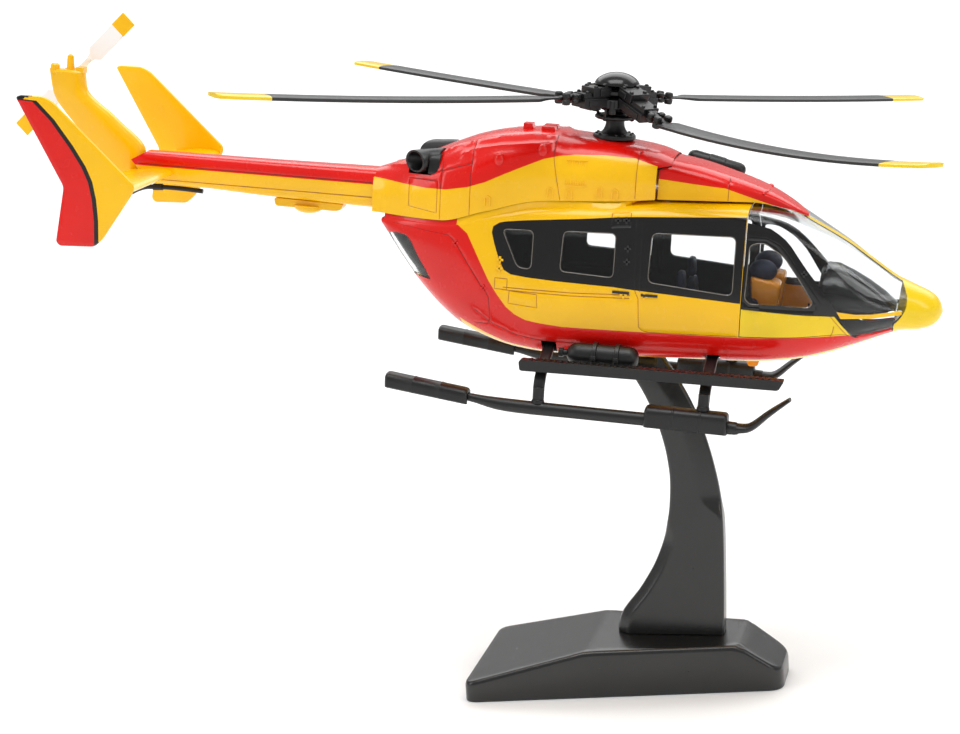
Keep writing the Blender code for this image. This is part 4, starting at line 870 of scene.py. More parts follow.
def make_cowling():
    skin = Skin(cowl_controls, COWL_ARC, closed_foot=False)
    split = skin.line(S_CURVE)
    lip_side = arc_at_width(skin, LIP_FRONT, 0.8 * float(cowl_width(LIP_FRONT)))
    lip_foot = float(skin.share(COWL_FRONT, -16.6)[0]) * COWL_ARC
    brim = [(LIP_FRONT, lip_side), (COWL_FRONT, lip_foot)]
    front = [(COWL_FRONT, a) for a in np.linspace(lip_foot, COWL_ARC, 24)]
    bay = [(-52.6, -15.4), (-47.0, -13.8), (-46.6, -22.9), (-53.6, -23.2), (-53.9, -20.4)]
    bay = skin.line(closed([(x, min(z, float(cowl_top(x)) - 0.9)) for x, z in bay]))
    ridges = [skin.line(r) for r in RIDGES]

    def label(x, s):
        out = np.where((s < read_line(split, x)) | (x > COWL_FRONT), 1, 0)
        out[(x > COWL_FRONT) & (s > read_line(brim[::-1], x))] = OPEN
        out[inside(x, s, bay[:-1])] = OPEN
        return out

    def relief(x, s):
        out = 0.42 * np.exp(-(gap_to(x, s, ridges) / 0.8) ** 2)
        return out + 0.25 * np.exp(-((x + 13.4) / 1.2) ** 2) * (s < 14)

    patch = Patch(skin, ((COWL_REAR, 0), (LIP_FRONT, COWL_ARC)), 0.95, label,
                  borders=[split, brim, front, bay, *ridges],
                  grooves=[skin.line(p) for p in COWL_LINES], relief=relief)
    patch.shell("cowling", {0: 0, 1: 1}, [YELLOW, RED, DARK], 1.3, inner=2,
                replaces=["engine_cowling"], slot="yellow_paint")

    parts = Pile(YELLOW, RED, GROOVE_SHADE_YELLOW)

    def wall_ring(x, inset):
        y, z = skin.section(np.full(30, x), np.linspace(0, 1, 30))
        width, top = float(cowl_width(x)), float(cowl_top(x))
        ring = [(x, a * (width - inset) / width, min(b, top - inset)) for a, b in zip(y, z)]
        return ring + [(x, -a, b) for _, a, b in ring[::-1][:-1]]

    parts.add(loft([wall_ring(12.9, 0.7), wall_ring(13.6, 0.9)]), 0)
    parts.add(loft([wall_ring(-64.45, 0.1), wall_ring(-64.2, 0.1), wall_ring(-63.6, 0.9)]), 1)
    for start, end, colour in ((-60.5, -38.4, 1), (-38.4, 13.0, 0)):
        rings = []
        for x in np.linspace(start, end, 40):
            width, low = float(cowl_width(x)) - 0.35, float(cowl_bottom(x)) - 0.12
            drop = 1.7 - 1.45 * ramp(x, 2, 13)
            foot = float(POD.wall(x, low - drop)[0]) - 0.06
            rings.append([(x, width - 1.6, low + 0.7), (x, width, low), (x, foot, low - drop),
                          (x, min(foot, width) - 1.6, low - drop - 0.5)])
        parts.add_pair(loft(rings), colour)
    for x, z in ((-27.8, -17.0), (-16.5, -14.2)):
        y = float(skin.wall(x, z)[0])
        for side in (1, -1):
            parts.add(egg((x, side * (y - 0.35), z), (1.45, 1.25, 1.9)), 1)
    raised = [(strip_outline([(x - 0.75, z - 1.8), (x - 0.7, z + 0.5), (x, z + 1.0),
                              (x + 0.7, z + 0.5), (x + 0.75, z - 1.8)], 0.22), 0.3)
              for x, z in VENTS]
    raised += [(strip_outline([(x, LOUVRE_TOP), (x, LOUVRE_FOOT)], 0.16), 0.22)
               for x in np.linspace(LOUVRE_REAR, LOUVRE_FRONT, 9)]
    # thin strips in the darker groove paint between the louvre bars: painted shade in the gaps
    for x in np.linspace(LOUVRE_REAR + 0.31, LOUVRE_FRONT - 0.31, 8):
        parts.add_pair(pad(skin, strip_outline([(x, LOUVRE_TOP), (x, LOUVRE_FOOT)], 0.07), 0.04), 2)
    raised += [(strip_outline([(LOUVRE_REAR - 0.4, z), (LOUVRE_FRONT + 0.4, z)], 0.14), 0.2)
               for z in (LOUVRE_TOP + 0.4, LOUVRE_FOOT - 0.4)]
    for outline, rise in raised:
        parts.add_pair(pad(skin, outline, rise))
    low = -9.9
    for x0, x1, y0, y1, rise in ((-24.5, -21.2, -1.6, 1.6, 1.1), (-19.2, -14.8, 0.6, 3.4, 0.8),
                                 (-19.2, -14.8, -3.4, -0.6, 0.8)):
        parts.add(prism(((x0, low - 2), (x1, low - 2), (x1 - 0.9, low + rise), (x0, low + rise)),
                        y0, y1), 1)
    parts.make("cowling_details", slot="red_paint", bevel=0.25)

    roof = Skin(fairing_controls, ROOF_ARC, closed_foot=False)
    colour = roof.line([(14.2, -19.5), (31.7, -21.0), (44.7, -25.2), (47.5, -27.2)])

    def roof_label(x, s):
        return np.where((s < read_line(colour, x)) | (x > 46.8), 1, 0)

    patch = Patch(roof, ((14.2, 0), (53, ROOF_ARC)), 0.9, roof_label, borders=[colour],
                  grooves=[roof.line(((32.5, -18.6), (32.5, -24.2)))])
    patch.shell("roof_spine", {0: 0, 1: 1}, [YELLOW, RED], 0.9, replaces=["roof_fairing"],
                slot="red_paint")
    points = roof.points(np.linspace(42.6, 41.2, 9), np.linspace(0.18, 0.5, 9))
    rib = tube([tuple(p) for p in points], [0.3] + [0.42] * 7 + [0.3], 10)
    Pile(RED).add_pair(rib).make("roof_ribs", slot="red_paint")


def egg(centre, radii, sides=20):
    """Closed ellipsoid."""
    rings = []
    for j in range(1, 12):
        a = math.pi * j / 12
        ring = [(centre[0] + radii[0] * math.sin(a) * math.cos(b),
                 centre[1] + radii[1] * math.sin(a) * math.sin(b),
                 centre[2] + radii[2] * math.cos(a)) for b in circle(sides)]
        rings.append(ring)
    return loft(rings)


def make_exhausts():
    path = smooth(((-44.4, 8.2, -19.3), (-46.8, 9.0, -19.4), (-49.2, 9.9, -19.6),
                   (-51.7, 11.0, -19.8)), 5)
    outer, inner = [], []
    for i, (x, y, z) in enumerate(path):
        t = i / (len(path) - 1)
        slant = -0.15 + 1.15 * ramp(t, 0.25, 1.0)
        for rings, r in ((outer, 3.4 - 0.25 * t), (inner, 3.4 - 0.25 * t - 0.55)):
            offsets = [(1.08 * r * math.cos(a), 0.95 * r * math.sin(a)) for a in circle(28)]
            rings.append([(x + slant * dy, y + dy, z + dz) for dy, dz in offsets])
    lip = [((a[0] + b[0]) / 2 - 0.25, (a[1] + b[1]) / 2, (a[2] + b[2]) / 2)
           for a, b in zip(outer[-1], inner[-1])]
    pipe = loft(outer + [lip] + inner[::-1][:-3])
    for side, flip in SIDES:
        pile = Pile(SATIN)
        pile.add(flip(pipe))
        collar = arc_corners(((6.2, -17.1), (12.2, -17.5), (14.0, -22.9), (6.2, -23.0)), 1.6)
        pile.add(flip(prism(collar, -47.4, -44.4, "x")))
        pile.make("exhaust_" + side, bevel=0.3, replaces=["exhaust_" + side],
                  slot="black_plastic")


# ---- tail -----------------------------------------------------------------------------------
boom_top = curve((-136, -24.6), (-131.6, -24.2), (-100, -24.2), (-64, -24.0))
boom_bottom = curve((-136, -32.9), (-118, -33.2), (-95, -34.2), (-64, -34.9))
boom_width = curve((-136, 2.7), (-131.6, 3.5), (-100, 4.3), (-64, 5.4))
fin_lead = curve((-33.4, -132.0), (-24.6, -131.9), (-16.0, -140.4), (-8.0, -149.4), (-3.6, -149.8))
fin_trail = curve((-33.4, -146.0), (-27, -146.5), (-20, -151.6), (-10, -159.2), (-3.6, -160.4))
fin_half = curve((-33.4, 2.0), (-24.6, 2.6), (-14, 2.3), (-3.6, 2.3))
ENDPLATE_Y = 36.5
ENDPLATE = ((-154.8, -6.6), (-153.6, -5.9), (-147.0, -5.9), (-144.2, -7.2),
            (-121.9, -27.2), (-121.4, -28.6), (-122.2, -30.6), (-130.2, -43.0),
            (-132.6, -45.2), (-142.4, -45.7), (-143.5, -44.6), (-141.3, -29.6))
STRIPE = ((-154.6, -7.2), (-149.9, -7.4), (-144.9, -12.1), (-139.5, -18.9), (-136.1, -23.9),
          (-134.2, -27.9), (-133.1, -32.6), (-132.5, -38.4), (-132.4, -46.5))


BOOM_ARC = 14.0


def boom_controls(x):
    top, bottom, half = boom_top(x), boom_bottom(x), boom_width(x)
    tall = top - bottom
    return [(y * half, top - z * tall) for y, z in
            ((0.42, 0.0), (0.9, 0.04), (1.02, 0.32), (1.0, 0.62), (0.86, 0.94), (0.42, 1.0))]


def flat_plate(outline, half, round_edge, label, borders=(), step=1.1):
    """Plate in X-Z with rounded edges: points, faces and a material index for each face."""
    ring = resampled(closed(outline), step)
    fine = [resampled(closed(grown(outline, -d)), step) for d in (round_edge * 0.35, round_edge)]
    xs, zs = [p[0] for p in ring], [p[1] for p in ring]
    flat, tris = triangulate(((min(xs) - 1, min(zs) - 1), (max(xs) + 1, max(zs) + 1)), step,
                             [ring, *fine, *[resampled(b, step) for b in borders]], [])
    middle = flat[tris].mean(1)
    tris = tris[inside(middle[:, 0], middle[:, 1], ring[:-1])]
    used, tris = np.unique(tris, return_inverse=True)
    tris = tris.reshape(-1, 3)
    flat = flat[used]
    edge = np.clip(gap_to(flat[:, 0], flat[:, 1], [ring]) / round_edge, 0, 1)
    y = half - round_edge * (1 - np.sqrt(np.clip(1 - (1 - edge) ** 2, 0, 1)))
    index = label(*flat[tris].mean(1).T)
    verts = [(a, h, b) for (a, b), h in zip(flat, y)] + [(a, -h, b) for (a, b), h in zip(flat, y)]
    shift = len(flat)
    rims = open_edges(tris)
    faces = [tuple(t[::-1]) for t in tris] + [tuple(t + shift) for t in tris]
    faces += [(p, q, q + shift, p + shift) for p, q in rims]
    rim_index = label(np.array([flat[p][0] for p, _ in rims]),
                      np.array([flat[p][1] for p, _ in rims]))
    return verts, faces, list(index) + list(index) + list(rim_index)


def make_tail():
    skin = Skin(boom_controls, BOOM_ARC)
    split = skin.line([(-136, -28.0), (-64, -28.0)])
    red_end = skin.line([(-130.9, -24.3), (-135.2, -26.7), (-133.8, -28.0)])
    low_end = skin.line([(-133.8, -28.0), (-131.6, -30.5), (-131.6, -33.0)])
    cut_line = red_end + low_end[1:]
    cut_line = [(cut_line[0][0], 0.0)] + cut_line + [(cut_line[-1][0], BOOM_ARC)]

    def label(x, s):
        out = np.where(s < read_line(split, x), 1, 0)
        out[x < read_line(cut_line, s, axis=1)] = OPEN
        return out

    lines = [skin.line([(-133, z), (-65, z)]) for z in (-27.5, -31.6)]
    patch = Patch(skin, ((-136, 0), (-64.2, BOOM_ARC)), 0.9, label, borders=[split, cut_line],
                  grooves=lines)
    patch.shell("boom", {0: 0, 1: 1}, [YELLOW, RED], 0.8, replaces=["tail_boom"],
                slot="yellow_paint")

    section = ((1.0, 0.0), (0.97, 0.62), (0.84, 0.92), (0.62, 1.02), (0.3, 0.74), (0.06, 0.3),
               (0.0, 0.14))
    rings = []
    for z in [-34.2, -33.9, -33.4] + list(np.arange(-32.6, -4.2, 0.8)) + [-3.8, -3.4, -3.2]:
        lead, trail = float(fin_lead(z)), float(fin_trail(z))
        half = float(fin_half(z)) * (0.4 + 0.6 * ramp(z, -34.4, -33.2))
        half *= 1 - 0.35 * ramp(z, -3.9, -3.1)
        chord = lead - trail
        side = [(trail + a * chord, b * half) for a, b in section]
        ring = side + [(a, -b) for a, b in side[::-1][:-1] if b > 0]
        dense = []
        count = len(ring)
        for i in range(count):
            before, here, after = ring[i - 1], ring[i], ring[(i + 1) % count]
            for k in range(3):
                t = k / 3
                w = (0.5 * (1 - t) ** 2, 0.5 + t - t * t, 0.5 * t * t)
                dense.append(tuple(w[0] * a + w[1] * b + w[2] * c
                                   for a, b, c in zip(before, here, after)) + (z,))
        rings.append(dense)
    fin = Pile(YELLOW)
    fin.add(loft(rings))
    fin.add(tube(((-154.2, 0, -4), (-154.2, 0, -1.2), (-154.2, 0, 0.6), (-154.2, 0, 1.0)),
                 [1.2, 1.0, 0.9, 0.4], 14))
    fin.add(tube(((-158.8, 0, -4.6), (-158.8, 0, -2.2), (-158.8, 0, -1.7)), [1.3, 1.3, 0.8], 14))
    fin.add(block((-152.2, -1.5, -4.0), (-149.9, 1.5, -2.3)))
    fin.make("fin", replaces=["tail_fin"], slot="yellow_paint", bevel=0.2)

    beam = smooth(closed(((-122.4, -29.6), (-124.0, -28.7), (-129.0, -28.6), (-135.0, -29.45),
                          (-135.0, -29.75), (-129.0, -30.5), (-124.0, -30.5))), 3)[:-1]
    make("tailplane", *prism(beam, -(ENDPLATE_Y - 0.7), ENDPLATE_Y - 0.7), [YELLOW],
         replaces=["stabiliser"], slot="yellow_paint")

    outline = arc_corners(ENDPLATE, 1.0, 3)
    stripe_front = [(x + 1.2, z + 0.3) for x, z in STRIPE]
    red_zone = closed([(-160, -6.4)] + list(STRIPE) + [(-160, -46.5)])[:-1]
    black_zone = [(-160, 0), (-146, 0), (-146.2, -5.0)] + stripe_front + [(-160, -46.5)]

    def livery(x, z):
        out = np.zeros(len(x), int)
        out[inside(x, z, black_zone)] = 1
        out[inside(x, z, red_zone)] = 2
        return out

    for side, y, paint in (("left", ENDPLATE_Y, None), ("right", -ENDPLATE_Y, livery)):
        shape = flat_plate(outline, 0.6, 0.5, paint or (lambda x, z: np.zeros(len(x), int)),
                           [STRIPE, stripe_front] if paint else [])
        verts = [(a, b + y, c) for a, b, c in shape[0]]
        make("endplate_skin_" + side, verts, shape[1], [YELLOW, BLACK_GLOSS, RED], shape[2],
             replaces=["endplate_" + side], slot="yellow_paint" if side == "left" else "red_paint")

    guard = smooth(((-115.0, 0, -34.6), (-122, 0, -34.3), (-129.0, 0, -34.4), (-133.0, 0, -35.0),
                    (-137.5, 0, -37.4), (-143.5, 0, -42.0)), 6)
    pile = Pile(SATIN)
    pile.add(tube(guard, 0.68, 14))
    pile.add(tube(((-129.6, 0, -34.45), (-126.8, 0, -34.3)), 0.95, 14))
    pile.add(egg((-143.5, 0, -42.0), (0.68, 0.68, 0.68)))
    pile.make("guard_tube", replaces=["tail_guard"], slot="black_plastic", bevel=0.1)

    keel = arc_corners(((-93.7, -34.3), (-73.8, -34.7), (-74.4, -36.4), (-76, -36.8),
                        (-93.2, -36.6)), 0.8, 3)
    pile = Pile(YELLOW, ORANGE_AND_SHADED_LEMON)
    pile.add(prism(keel, -2.2, 2.2))
    pile.add(turned(((4.2, 0.9), (4.15, 0.2), (3.8, -0.4), (3.1, -0.9), (2.2, -1.25), (1.0, -1.5),
                     (0.3, -1.55)), (-84.2, 0.0, -36.7), 32))
    pile.make("boom_keel", replaces=["boom_antenna"], slot="yellow_paint", bevel=0.35)
    boss = turned(((2.5, -4.0), (2.5, -2.4), (2.2, -1.9), (1.5, -1.5), (1.2, -1.35)), TAIL_HUB,
                  28, "y")
    make("gearbox_boss", *boss, [YELLOW], replaces=["tail_gearbox"], slot="yellow_paint")


# ---- undercarriage --------------------------------------------------------------------------
SKID_Y = 29.5


def make_undercarriage():
    way = smooth(((-52.6, -75.75), (-42, -76.95), (-30, -78.35), (-20, -79.5), (0, -79.7),
                  (20, -79.8), (38.6, -79.9), (41.4, -79.8), (44.6, -79.0), (49, -75.0),
                  (54.0, -70.9)), 5)
    sizes = smooth(((1.1, 1.1), (1.1, 1.1), (1.1, 1.1), (1.75, 1.75), (1.75, 1.75), (1.75, 1.75),
                    (1.75, 1.75), (2.2, 1.3), (2.5, 1.05), (2.4, 0.8), (1.9, 0.5)), 5)
    skid = tube([(x, SKID_Y, z) for x, z in way], [s[1] for s in sizes], 22,
                [s[0] for s in sizes])

    def pack(tube_radius, wide, tall, rise, ends):
        inner = tube_radius + 0.3
        arc = [(wide * math.copysign(abs(math.cos(a)) ** 0.75, math.cos(a)),
                tall * abs(math.sin(a)) ** 0.75 + rise)
               for a in np.radians(np.linspace(0, 180, 15))]
        low = [(inner * math.cos(a), inner * math.sin(a)) for a in np.radians((168, 135, 90, 45, 12))]
        section = [(wide, -1.2)] + arc + [(-wide, -1.2), (-wide + 0.4, -1.6), (-inner, -1.5)] + low
        section += [(inner, -1.5), (wide - 0.4, -1.6)]
        (x0, z0), (x1, z1) = ends
        rings = []
        for share, size in ((0, 0.72), (0.006, 0.86), (0.018, 0.95), (0.04, 1), (0.33, 1),
                            (0.337, 1.04), (0.35, 1.04), (0.357, 1), (0.66, 1), (0.667, 1.04),
                            (0.68, 1.04), (0.687, 1), (0.96, 1), (0.982, 0.95), (0.994, 0.86),
                            (1, 0.72)):
            x, z = x0 + (x1 - x0) * share, z0 + (z1 - z0) * share
            rings.append([(x, SKID_Y + dy * (size if abs(dy) > inner else 1),
                           z + (dz * size if dz > inner else dz)) for dy, dz in section])
        return loft(rings)

    rear = pack(1.1, 2.75, 2.0, 0.3, ((-52.8, -75.7), (-30.3, -78.3)))
    front = pack(1.75, 2.9, 2.2, 1.7, ((16.8, -79.75), (38.5, -79.9)))
    bar = arc_corners(((-17.3, -67.5), (-16.8, -66.9), (52.2, -66.2), (50.8, -68.9), (-17.0, -69.9)),
                      0.7, 3)
    for side, flip in SIDES:
        pile = Pile(SATIN)
        pile.add(flip(skid))
        pile.make("skid_tube_" + side, replaces=["skid_" + side], slot="black_plastic", bevel=0.2)
        for place, cover in (("rear_", rear), ("front_", front)):
            make("float_cover_" + place + side, *flip(cover), [SATIN], bevel=0.15,
                 replaces=["float_pack_" + place + side], slot="black_plastic")
        pile = Pile(SATIN)
        pile.add(flip(prism(bar, 26.9, 29.9)))
        for x in np.arange(-14.5, 49.5, 1.6):
            rise = 0.0101 * (x + 16.8)           # the board's top climbs towards the nose
            pile.add(flip(block((x, 27.3, -66.9 + rise), (x + 0.7, 29.5, -66.65 + rise))))
        pile.make("footboard_" + side, bevel=0.12, replaces=["step_" + side],
                  slot="black_plastic")
    for place, x, top in (("rear", LEGS[0], -77.9), ("front", LEGS[1], -75.65)):
        port = smooth(((29.1, top + 0.3), (28.7, -73.8), (26.8, -71.0), (23.2, -68.6),
                       (19.4, -66.8), (15.5, -65.1), (11.0, -64.4)), 5)
        way = [(x, y, z) for y, z in port] + [(x, -y, z) for y, z in port[::-1]]
        pile = Pile(SATIN)
        rings = []
        for i, (_, y, z) in enumerate(way):
            ahead = Vector(way[min(i + 1, len(way) - 1)]) - Vector(way[max(i - 1, 0)])
            ahead.normalize()
            up = Vector((0, -ahead.z, ahead.y))
            rings.append([tuple(Vector((x, y, z)) + Vector((1.5 * c, 0, 0)) + up * 0.85 * s)
                          for c, s in ((math.copysign(abs(math.cos(a)) ** 0.5, math.cos(a)),
                                        math.copysign(abs(math.sin(a)) ** 0.5, math.sin(a)))
                                       for a in circle(16, 0.5))])
        pile.add(loft(rings))
        for side in (1, -1):
            pile.add(tube(((x, side * 29.4, top - 0.6), (x, side * 29.2, top + 0.6)), 1.7, 18))
            pile.add(tube(((x, side * 29.2, top + 0.5), (x, side * 28.9, top + 4.0)), 1.45, 18))
        pile.make("leg_" + place, bevel=0.3, replaces=["cross_tube_" + place],
                  slot="black_plastic")


# ---- fittings -------------------------------------------------------------------------------
def make_fittings():
    cx, cy, cz = 0.4, -22.6, -65.6
    profile = ((0.5, -7.6), (0.9, -7.5), (0.9, -6.1), (1.3, -6.0), (1.9, -5.6), (2.5, -4.9),
               (2.9, -3.9), (3.0, -3.0), (3.0, 10.4), (2.8, 11.4), (2.3, 12.2), (1.5, 12.7),
               (0.5, 12.85))
    pile = Pile(SATIN)
    pile.add(turned(profile, (cx, cy, cz), 32, "x"))
    pile.add(turned(((1.3, -8.4), (1.3, -7.2), (0.8, -7.0)), (cx, cy, cz), 8, "x"))
    pile.make("bottle_body", replaces=["bottle"], slot="black_plastic", bevel=0.12)
    for place, x in (("rear", 1.2), ("front", 7.2)):
        pile = Pile(SATIN)
        pile.add(turned(((3.0, x - 0.1), (3.45, x), (3.45, x + 1.1), (3.0, x + 1.2)),
                        (0, cy, cz), 32, "x"))
        pile.add(block((x - 0.1, cy + 2.4, cz + 0.6), (x + 1.2, cy + 4.8, cz + 2.0)))
        pile.add(block((x - 0.2, cy - 3.9, cz - 0.6), (x + 1.3, cy - 3.2, cz + 0.6)))
        pile.make("strap_" + place, replaces=["bottle_strap_" + place], slot="black_plastic",
                  bevel=0.12)

    hx, hy, hz, slope = 25.9, 15.0, -18.5, 0.22
    rings = [(hx + d, hy, hz - slope * d) for d in
             (-7.9, -7.7, -7.1, -6.2, -2.2, -2.0, 2.0, 2.2, 6.2, 7.1, 7.7, 7.9)]
    sizes = [0.5, 1.1, 1.75, 2.05, 2.05, 2.2, 2.2, 2.05, 2.05, 1.75, 1.1, 0.5]
    pile = Pile(SATIN)
    pile.add(tube(rings, sizes, 28))
    pile.add(block((hx - 1.6, hy - 0.9, -25.2), (hx + 1.6, hy + 0.9, hz)))
    pile.make("hoist_drum", replaces=["hoist"], slot="black_plastic", bevel=0.15)
    fin = arc_corners(((38.4, -67.1), (43.0, -66.9), (42.2, -69.9), (39.8, -70.1)), 0.5, 3)
    make("belly_fin", *prism(fin, -0.7, 0.7), [ORANGE_AND_SHADED_LEMON], bevel=0.25,
         replaces=["belly_antenna"], slot="orange_plastic")

    hinges = Pile(RED, YELLOW, BLACK_GLOSS)
    for x, z, kind in ((-38.3, -39.9, 0), (-29.9, -51.0, 0), (-25.7, -43.0, 1), (-25.7, -45.3, 1),
                       (8.3, -37.2, 2), (8.3, -40.6, 2), (5.2, -30.2, 2), (7.4, -30.0, 2),
                       (8.0, -49.3, 1), (13.5, -49.3, 1), (54.2, -40.4, 2)):
        y = float(POD.wall(x, z)[0])
        for side in (1, -1):
            for wide, tall in ((0.95, 0.32), (0.32, 0.95)):
                hinges.add(block((x - wide, side * (y + 0.05) - 0.28, z - tall),
                                 (x + wide, side * (y + 0.05) + 0.28, z + tall)), kind)
    for x0, x1, z in ((39.6, 43.6, -50.1), (5.0, 9.5, -48.7), (12.6, 17.0, -48.9)):
        y = float(POD.wall((x0 + x1) / 2, z)[0])
        for side in (1, -1):
            hinges.add(block((x0, side * (y + 0.1) - 0.3, z - 0.35),
                             (x1, side * (y + 0.1) + 0.3, z + 0.35)), 2)
    hinges.make("hinges_and_handles", bevel=0.1, slot="black_plastic")


# ---- cabin ----------------------------------------------------------------------------------
def chair(x, low, high, lean, base):
    """Cushion and back rest with soft edges, between two Y stations."""
    middle, half = (low + high) / 2, (high - low) / 2
    shapes = []
    for outline in (((0, 0.6), (9.2, 1.0), (9.6, 2.6), (8.8, 3.3), (3.4, 2.8), (0, 2.8)),
                    ((-1.6, 1.0), (1.6, 1.6), (1.4 - lean, 10.6), (-0.6 - lean, 11.0)),
                    ((-0.8 - lean, 11.4), (1.3 - lean, 11.2), (0.9 - lean, 16.0),
                     (-0.9 - lean, 16.2))):
        points = arc_corners([(x + a, base + b) for a, b in outline], 0.9, 3)
        narrow = 0.62 if outline[0][1] > 5 else 1.0
        cx, cz = (sum(p[k] for p in points) / len(points) for k in (0, 1))
        rings = []
        for share, size in ((-1, 0.7), (-0.93, 0.9), (-0.8, 1.0), (0.8, 1.0), (0.93, 0.9), (1, 0.7)):
            rings.append([(cx + (a - cx) * size, middle + half * share * narrow,
                           cz + (b - cz) * size) for a, b in points])
        shapes.append(loft(rings))
    return shapes


def make_cabin():
    base = -59.85
    for name, x, low, high, lean, node in (
            ("pilot_chair_left", 42.6, 2.2, 11.2, 2.0, "pilot_seat_left"),
            ("pilot_chair_right", 42.6, -11.2, -2.2, 2.0, "pilot_seat_right"),
            ("cabin_chair_left", 22.5, 6.0, 14.2, 1.0, "cabin_seat_left"),
            ("cabin_chair_right", 22.5, -14.2, -6.0, 1.0, "cabin_seat_right"),
            ("bench", -16.0, -13.0, 13.0, 1.5, "rear_bench")):
        pile = Pile(SEAT, ORANGE_AND_SHADED_LEMON)
        for shape in chair(x, low, high, lean, base):
            pile.add(shape)
        if "pilot" in name:
            middle = (low + high) / 2
            pile.add(egg((42.6, middle, -42.4), (3.7, 3.3, 2.9)))
            # orange back rest standing for the lemon door panel seen in shade behind the seat: painted
            # shade
            back = arc_corners(((41.0, -57.5), (46.4, -57.5), (47.6, -45.0), (39.6, -43.6)), 1.2, 4)
            rings = [[(43 + (a - 43) * size, y, -50 + (b + 50) * size) for a, b in back]
                     for y, size in ((low + 0.6, 0.85), (low + 1.1, 0.97), (low + 2, 1.0),
                                     (high - 2, 1.0), (high - 1.1, 0.97), (high - 0.6, 0.85))]
            pile.add(loft(rings), 1)
        pile.make(name, replaces=[node], slot="interior", angle=50)

    plan = [(x, float(POD.wall(x, -61.6)[0]) - 2.0) for x in (-25, -17, -8, 4, 20, 36, 46, 54, 60)]
    plan += [(x, -y) for x, y in reversed(plan)]
    pile = Pile(GREY, DARK)
    pile.add(prism(plan, -61.2, -60.3, "z"))
    for y in (-9.6, -6.4, 6.4, 9.6):
        pile.add(block((-14, y - 0.2, -60.3), (34, y + 0.2, -60.0)), 1)
    pile.make("cabin_deck", replaces=["cabin_floor"], slot="floor", bevel=0.1)

    pile = Pile(BLACK_GLOSS, SCREEN, STEEL)
    hood_rings = []
    for x, top in ((57.6, -41.4), (59.0, -40.0), (62.0, -40.0), (66.0, -41.8), (70.0, -44.0),
                   (74.0, -46.6), (77.6, -49.6)):
        half = min(float(POD.wall(x, -49.0)[0]) - 2.2, 11.4)
        ring = []
        for k in range(17):
            a = math.pi * k / 16
            ring.append((x, half * math.cos(a), -50.6 + (top + 50.6) * abs(math.sin(a)) ** 0.7))
        ring += [(x, -half, -51.2), (x, half, -51.2)]
        hood_rings.append(ring)
    pile.add(loft(hood_rings), 0)
    pile.add(prism(((60.4, -60), (63.6, -60), (65.4, -51), (60.0, -51)), -3.2, 3.2), 0)
    for y in (-6.4, -2.2, 2.2, 6.4):
        pile.add(block((57.3, y - 1.6, -47.6), (57.9, y + 1.6, -44.4)), 1)
    for y in (-4.4, 0.0, 4.4):
        pile.add(turned(((0.5, 57.3), (0.5, 57.7)), (0, y, -49.0), 14, "x"), 2)
    for y in (-6.7, 6.7):
        pile.add(tube(((53.4, y, -59.4), (54.4, y, -55.0), (53.8, y, -52.6)), 0.35, 10), 0)
    pile.make("dashboard", replaces=["instrument_panel"], slot="interior", bevel=0.15)
    make("socket_block", *block((3.5, -4.2, -67.2), (16.5, 4.2, -60.4)), [SATIN],
         replaces=["stand_socket"], slot="black_plastic", bevel=0.3)


# ---- rotor head and blades ------------------------------------------------------------------
ROTOR_RADIUS, GRIP_START, GRIP_MIDDLE, SHORTEST_START = 118.0, 6.0, 11.0, 19.0
BLADE_TIP = 14.0                                 # length of the yellow tip
BLADES = ((-42.6, 22.0, -4.9, -0.5, 2.3), (51.0, 19.0, -1.5, -6.5, 0.4),
          (140.3, 19.0, -2.9, -5.2, 0.2), (224.5, 19.0, 0.0, 4.2, 0.7))
# of each blade: azimuth, start radius, height at the start, height at the tip, sag between


def blade_height(radius, start, root, tip, sag):
    if radius < start:
        return root * max(radius - GRIP_START, 0.0) / (start - GRIP_START)
    share = (radius - start) / (ROTOR_RADIUS - start)
    return root + (tip - root) * share - sag * 4 * share * (1 - share)


def make_blades():
    section = [(-3.75, 0.32), (-3.5, 0.42), (-1.9, 0.6), (0.6, 0.72), (2.4, 0.66), (3.5, 0.5),
               (3.75, 0.36), (3.75, -0.36), (3.5, -0.46), (2.2, -0.5), (0.4, -0.5), (-1.9, -0.46),
               (-3.5, -0.42), (-3.75, -0.32)]
    for number, (azimuth, start, *droop) in enumerate(BLADES, 1):
        square = number == 1
        stations = [(start, 0.9), (start + 0.15, 1.0)] if square else \
            [(start, 0.3), (start + 2.5, 0.34), (start + 4.5, 0.5), (start + 7.0, 0.92),
             (start + 7.6, 1.0)]
        stations += [(r, 1.0) for r in np.arange(start + 10, 102, 5.2)]
        stations += [(ROTOR_RADIUS - BLADE_TIP, 1.0), (109, 1.0), (115.6, 1.0), (117, 0.97),
                       (117.6, 0.9), (ROTOR_RADIUS, 0.72)]
        rings = [[(r, y * size, z * min(size + 0.25, 1.0) + blade_height(r, start, *droop))
                  for y, z in section] for r, size in stations]
        verts, faces = loft(rings)
        middle = [sum(verts[i][0] for i in face) / len(face) for face in faces]
        index = [int(m > ROTOR_RADIUS - BLADE_TIP) for m in middle]
        turn = Matrix.Rotation(math.radians(azimuth), 4, "Z")
        verts = [tuple(turn @ Vector(v)) for v in verts]
        make(f"blade_{number}", verts, faces, [BLADE_BLACK, LEMON], index, body="main_rotor",
             replaces=[f"main_blade_{number}"], slot="blade_black", angle=50)


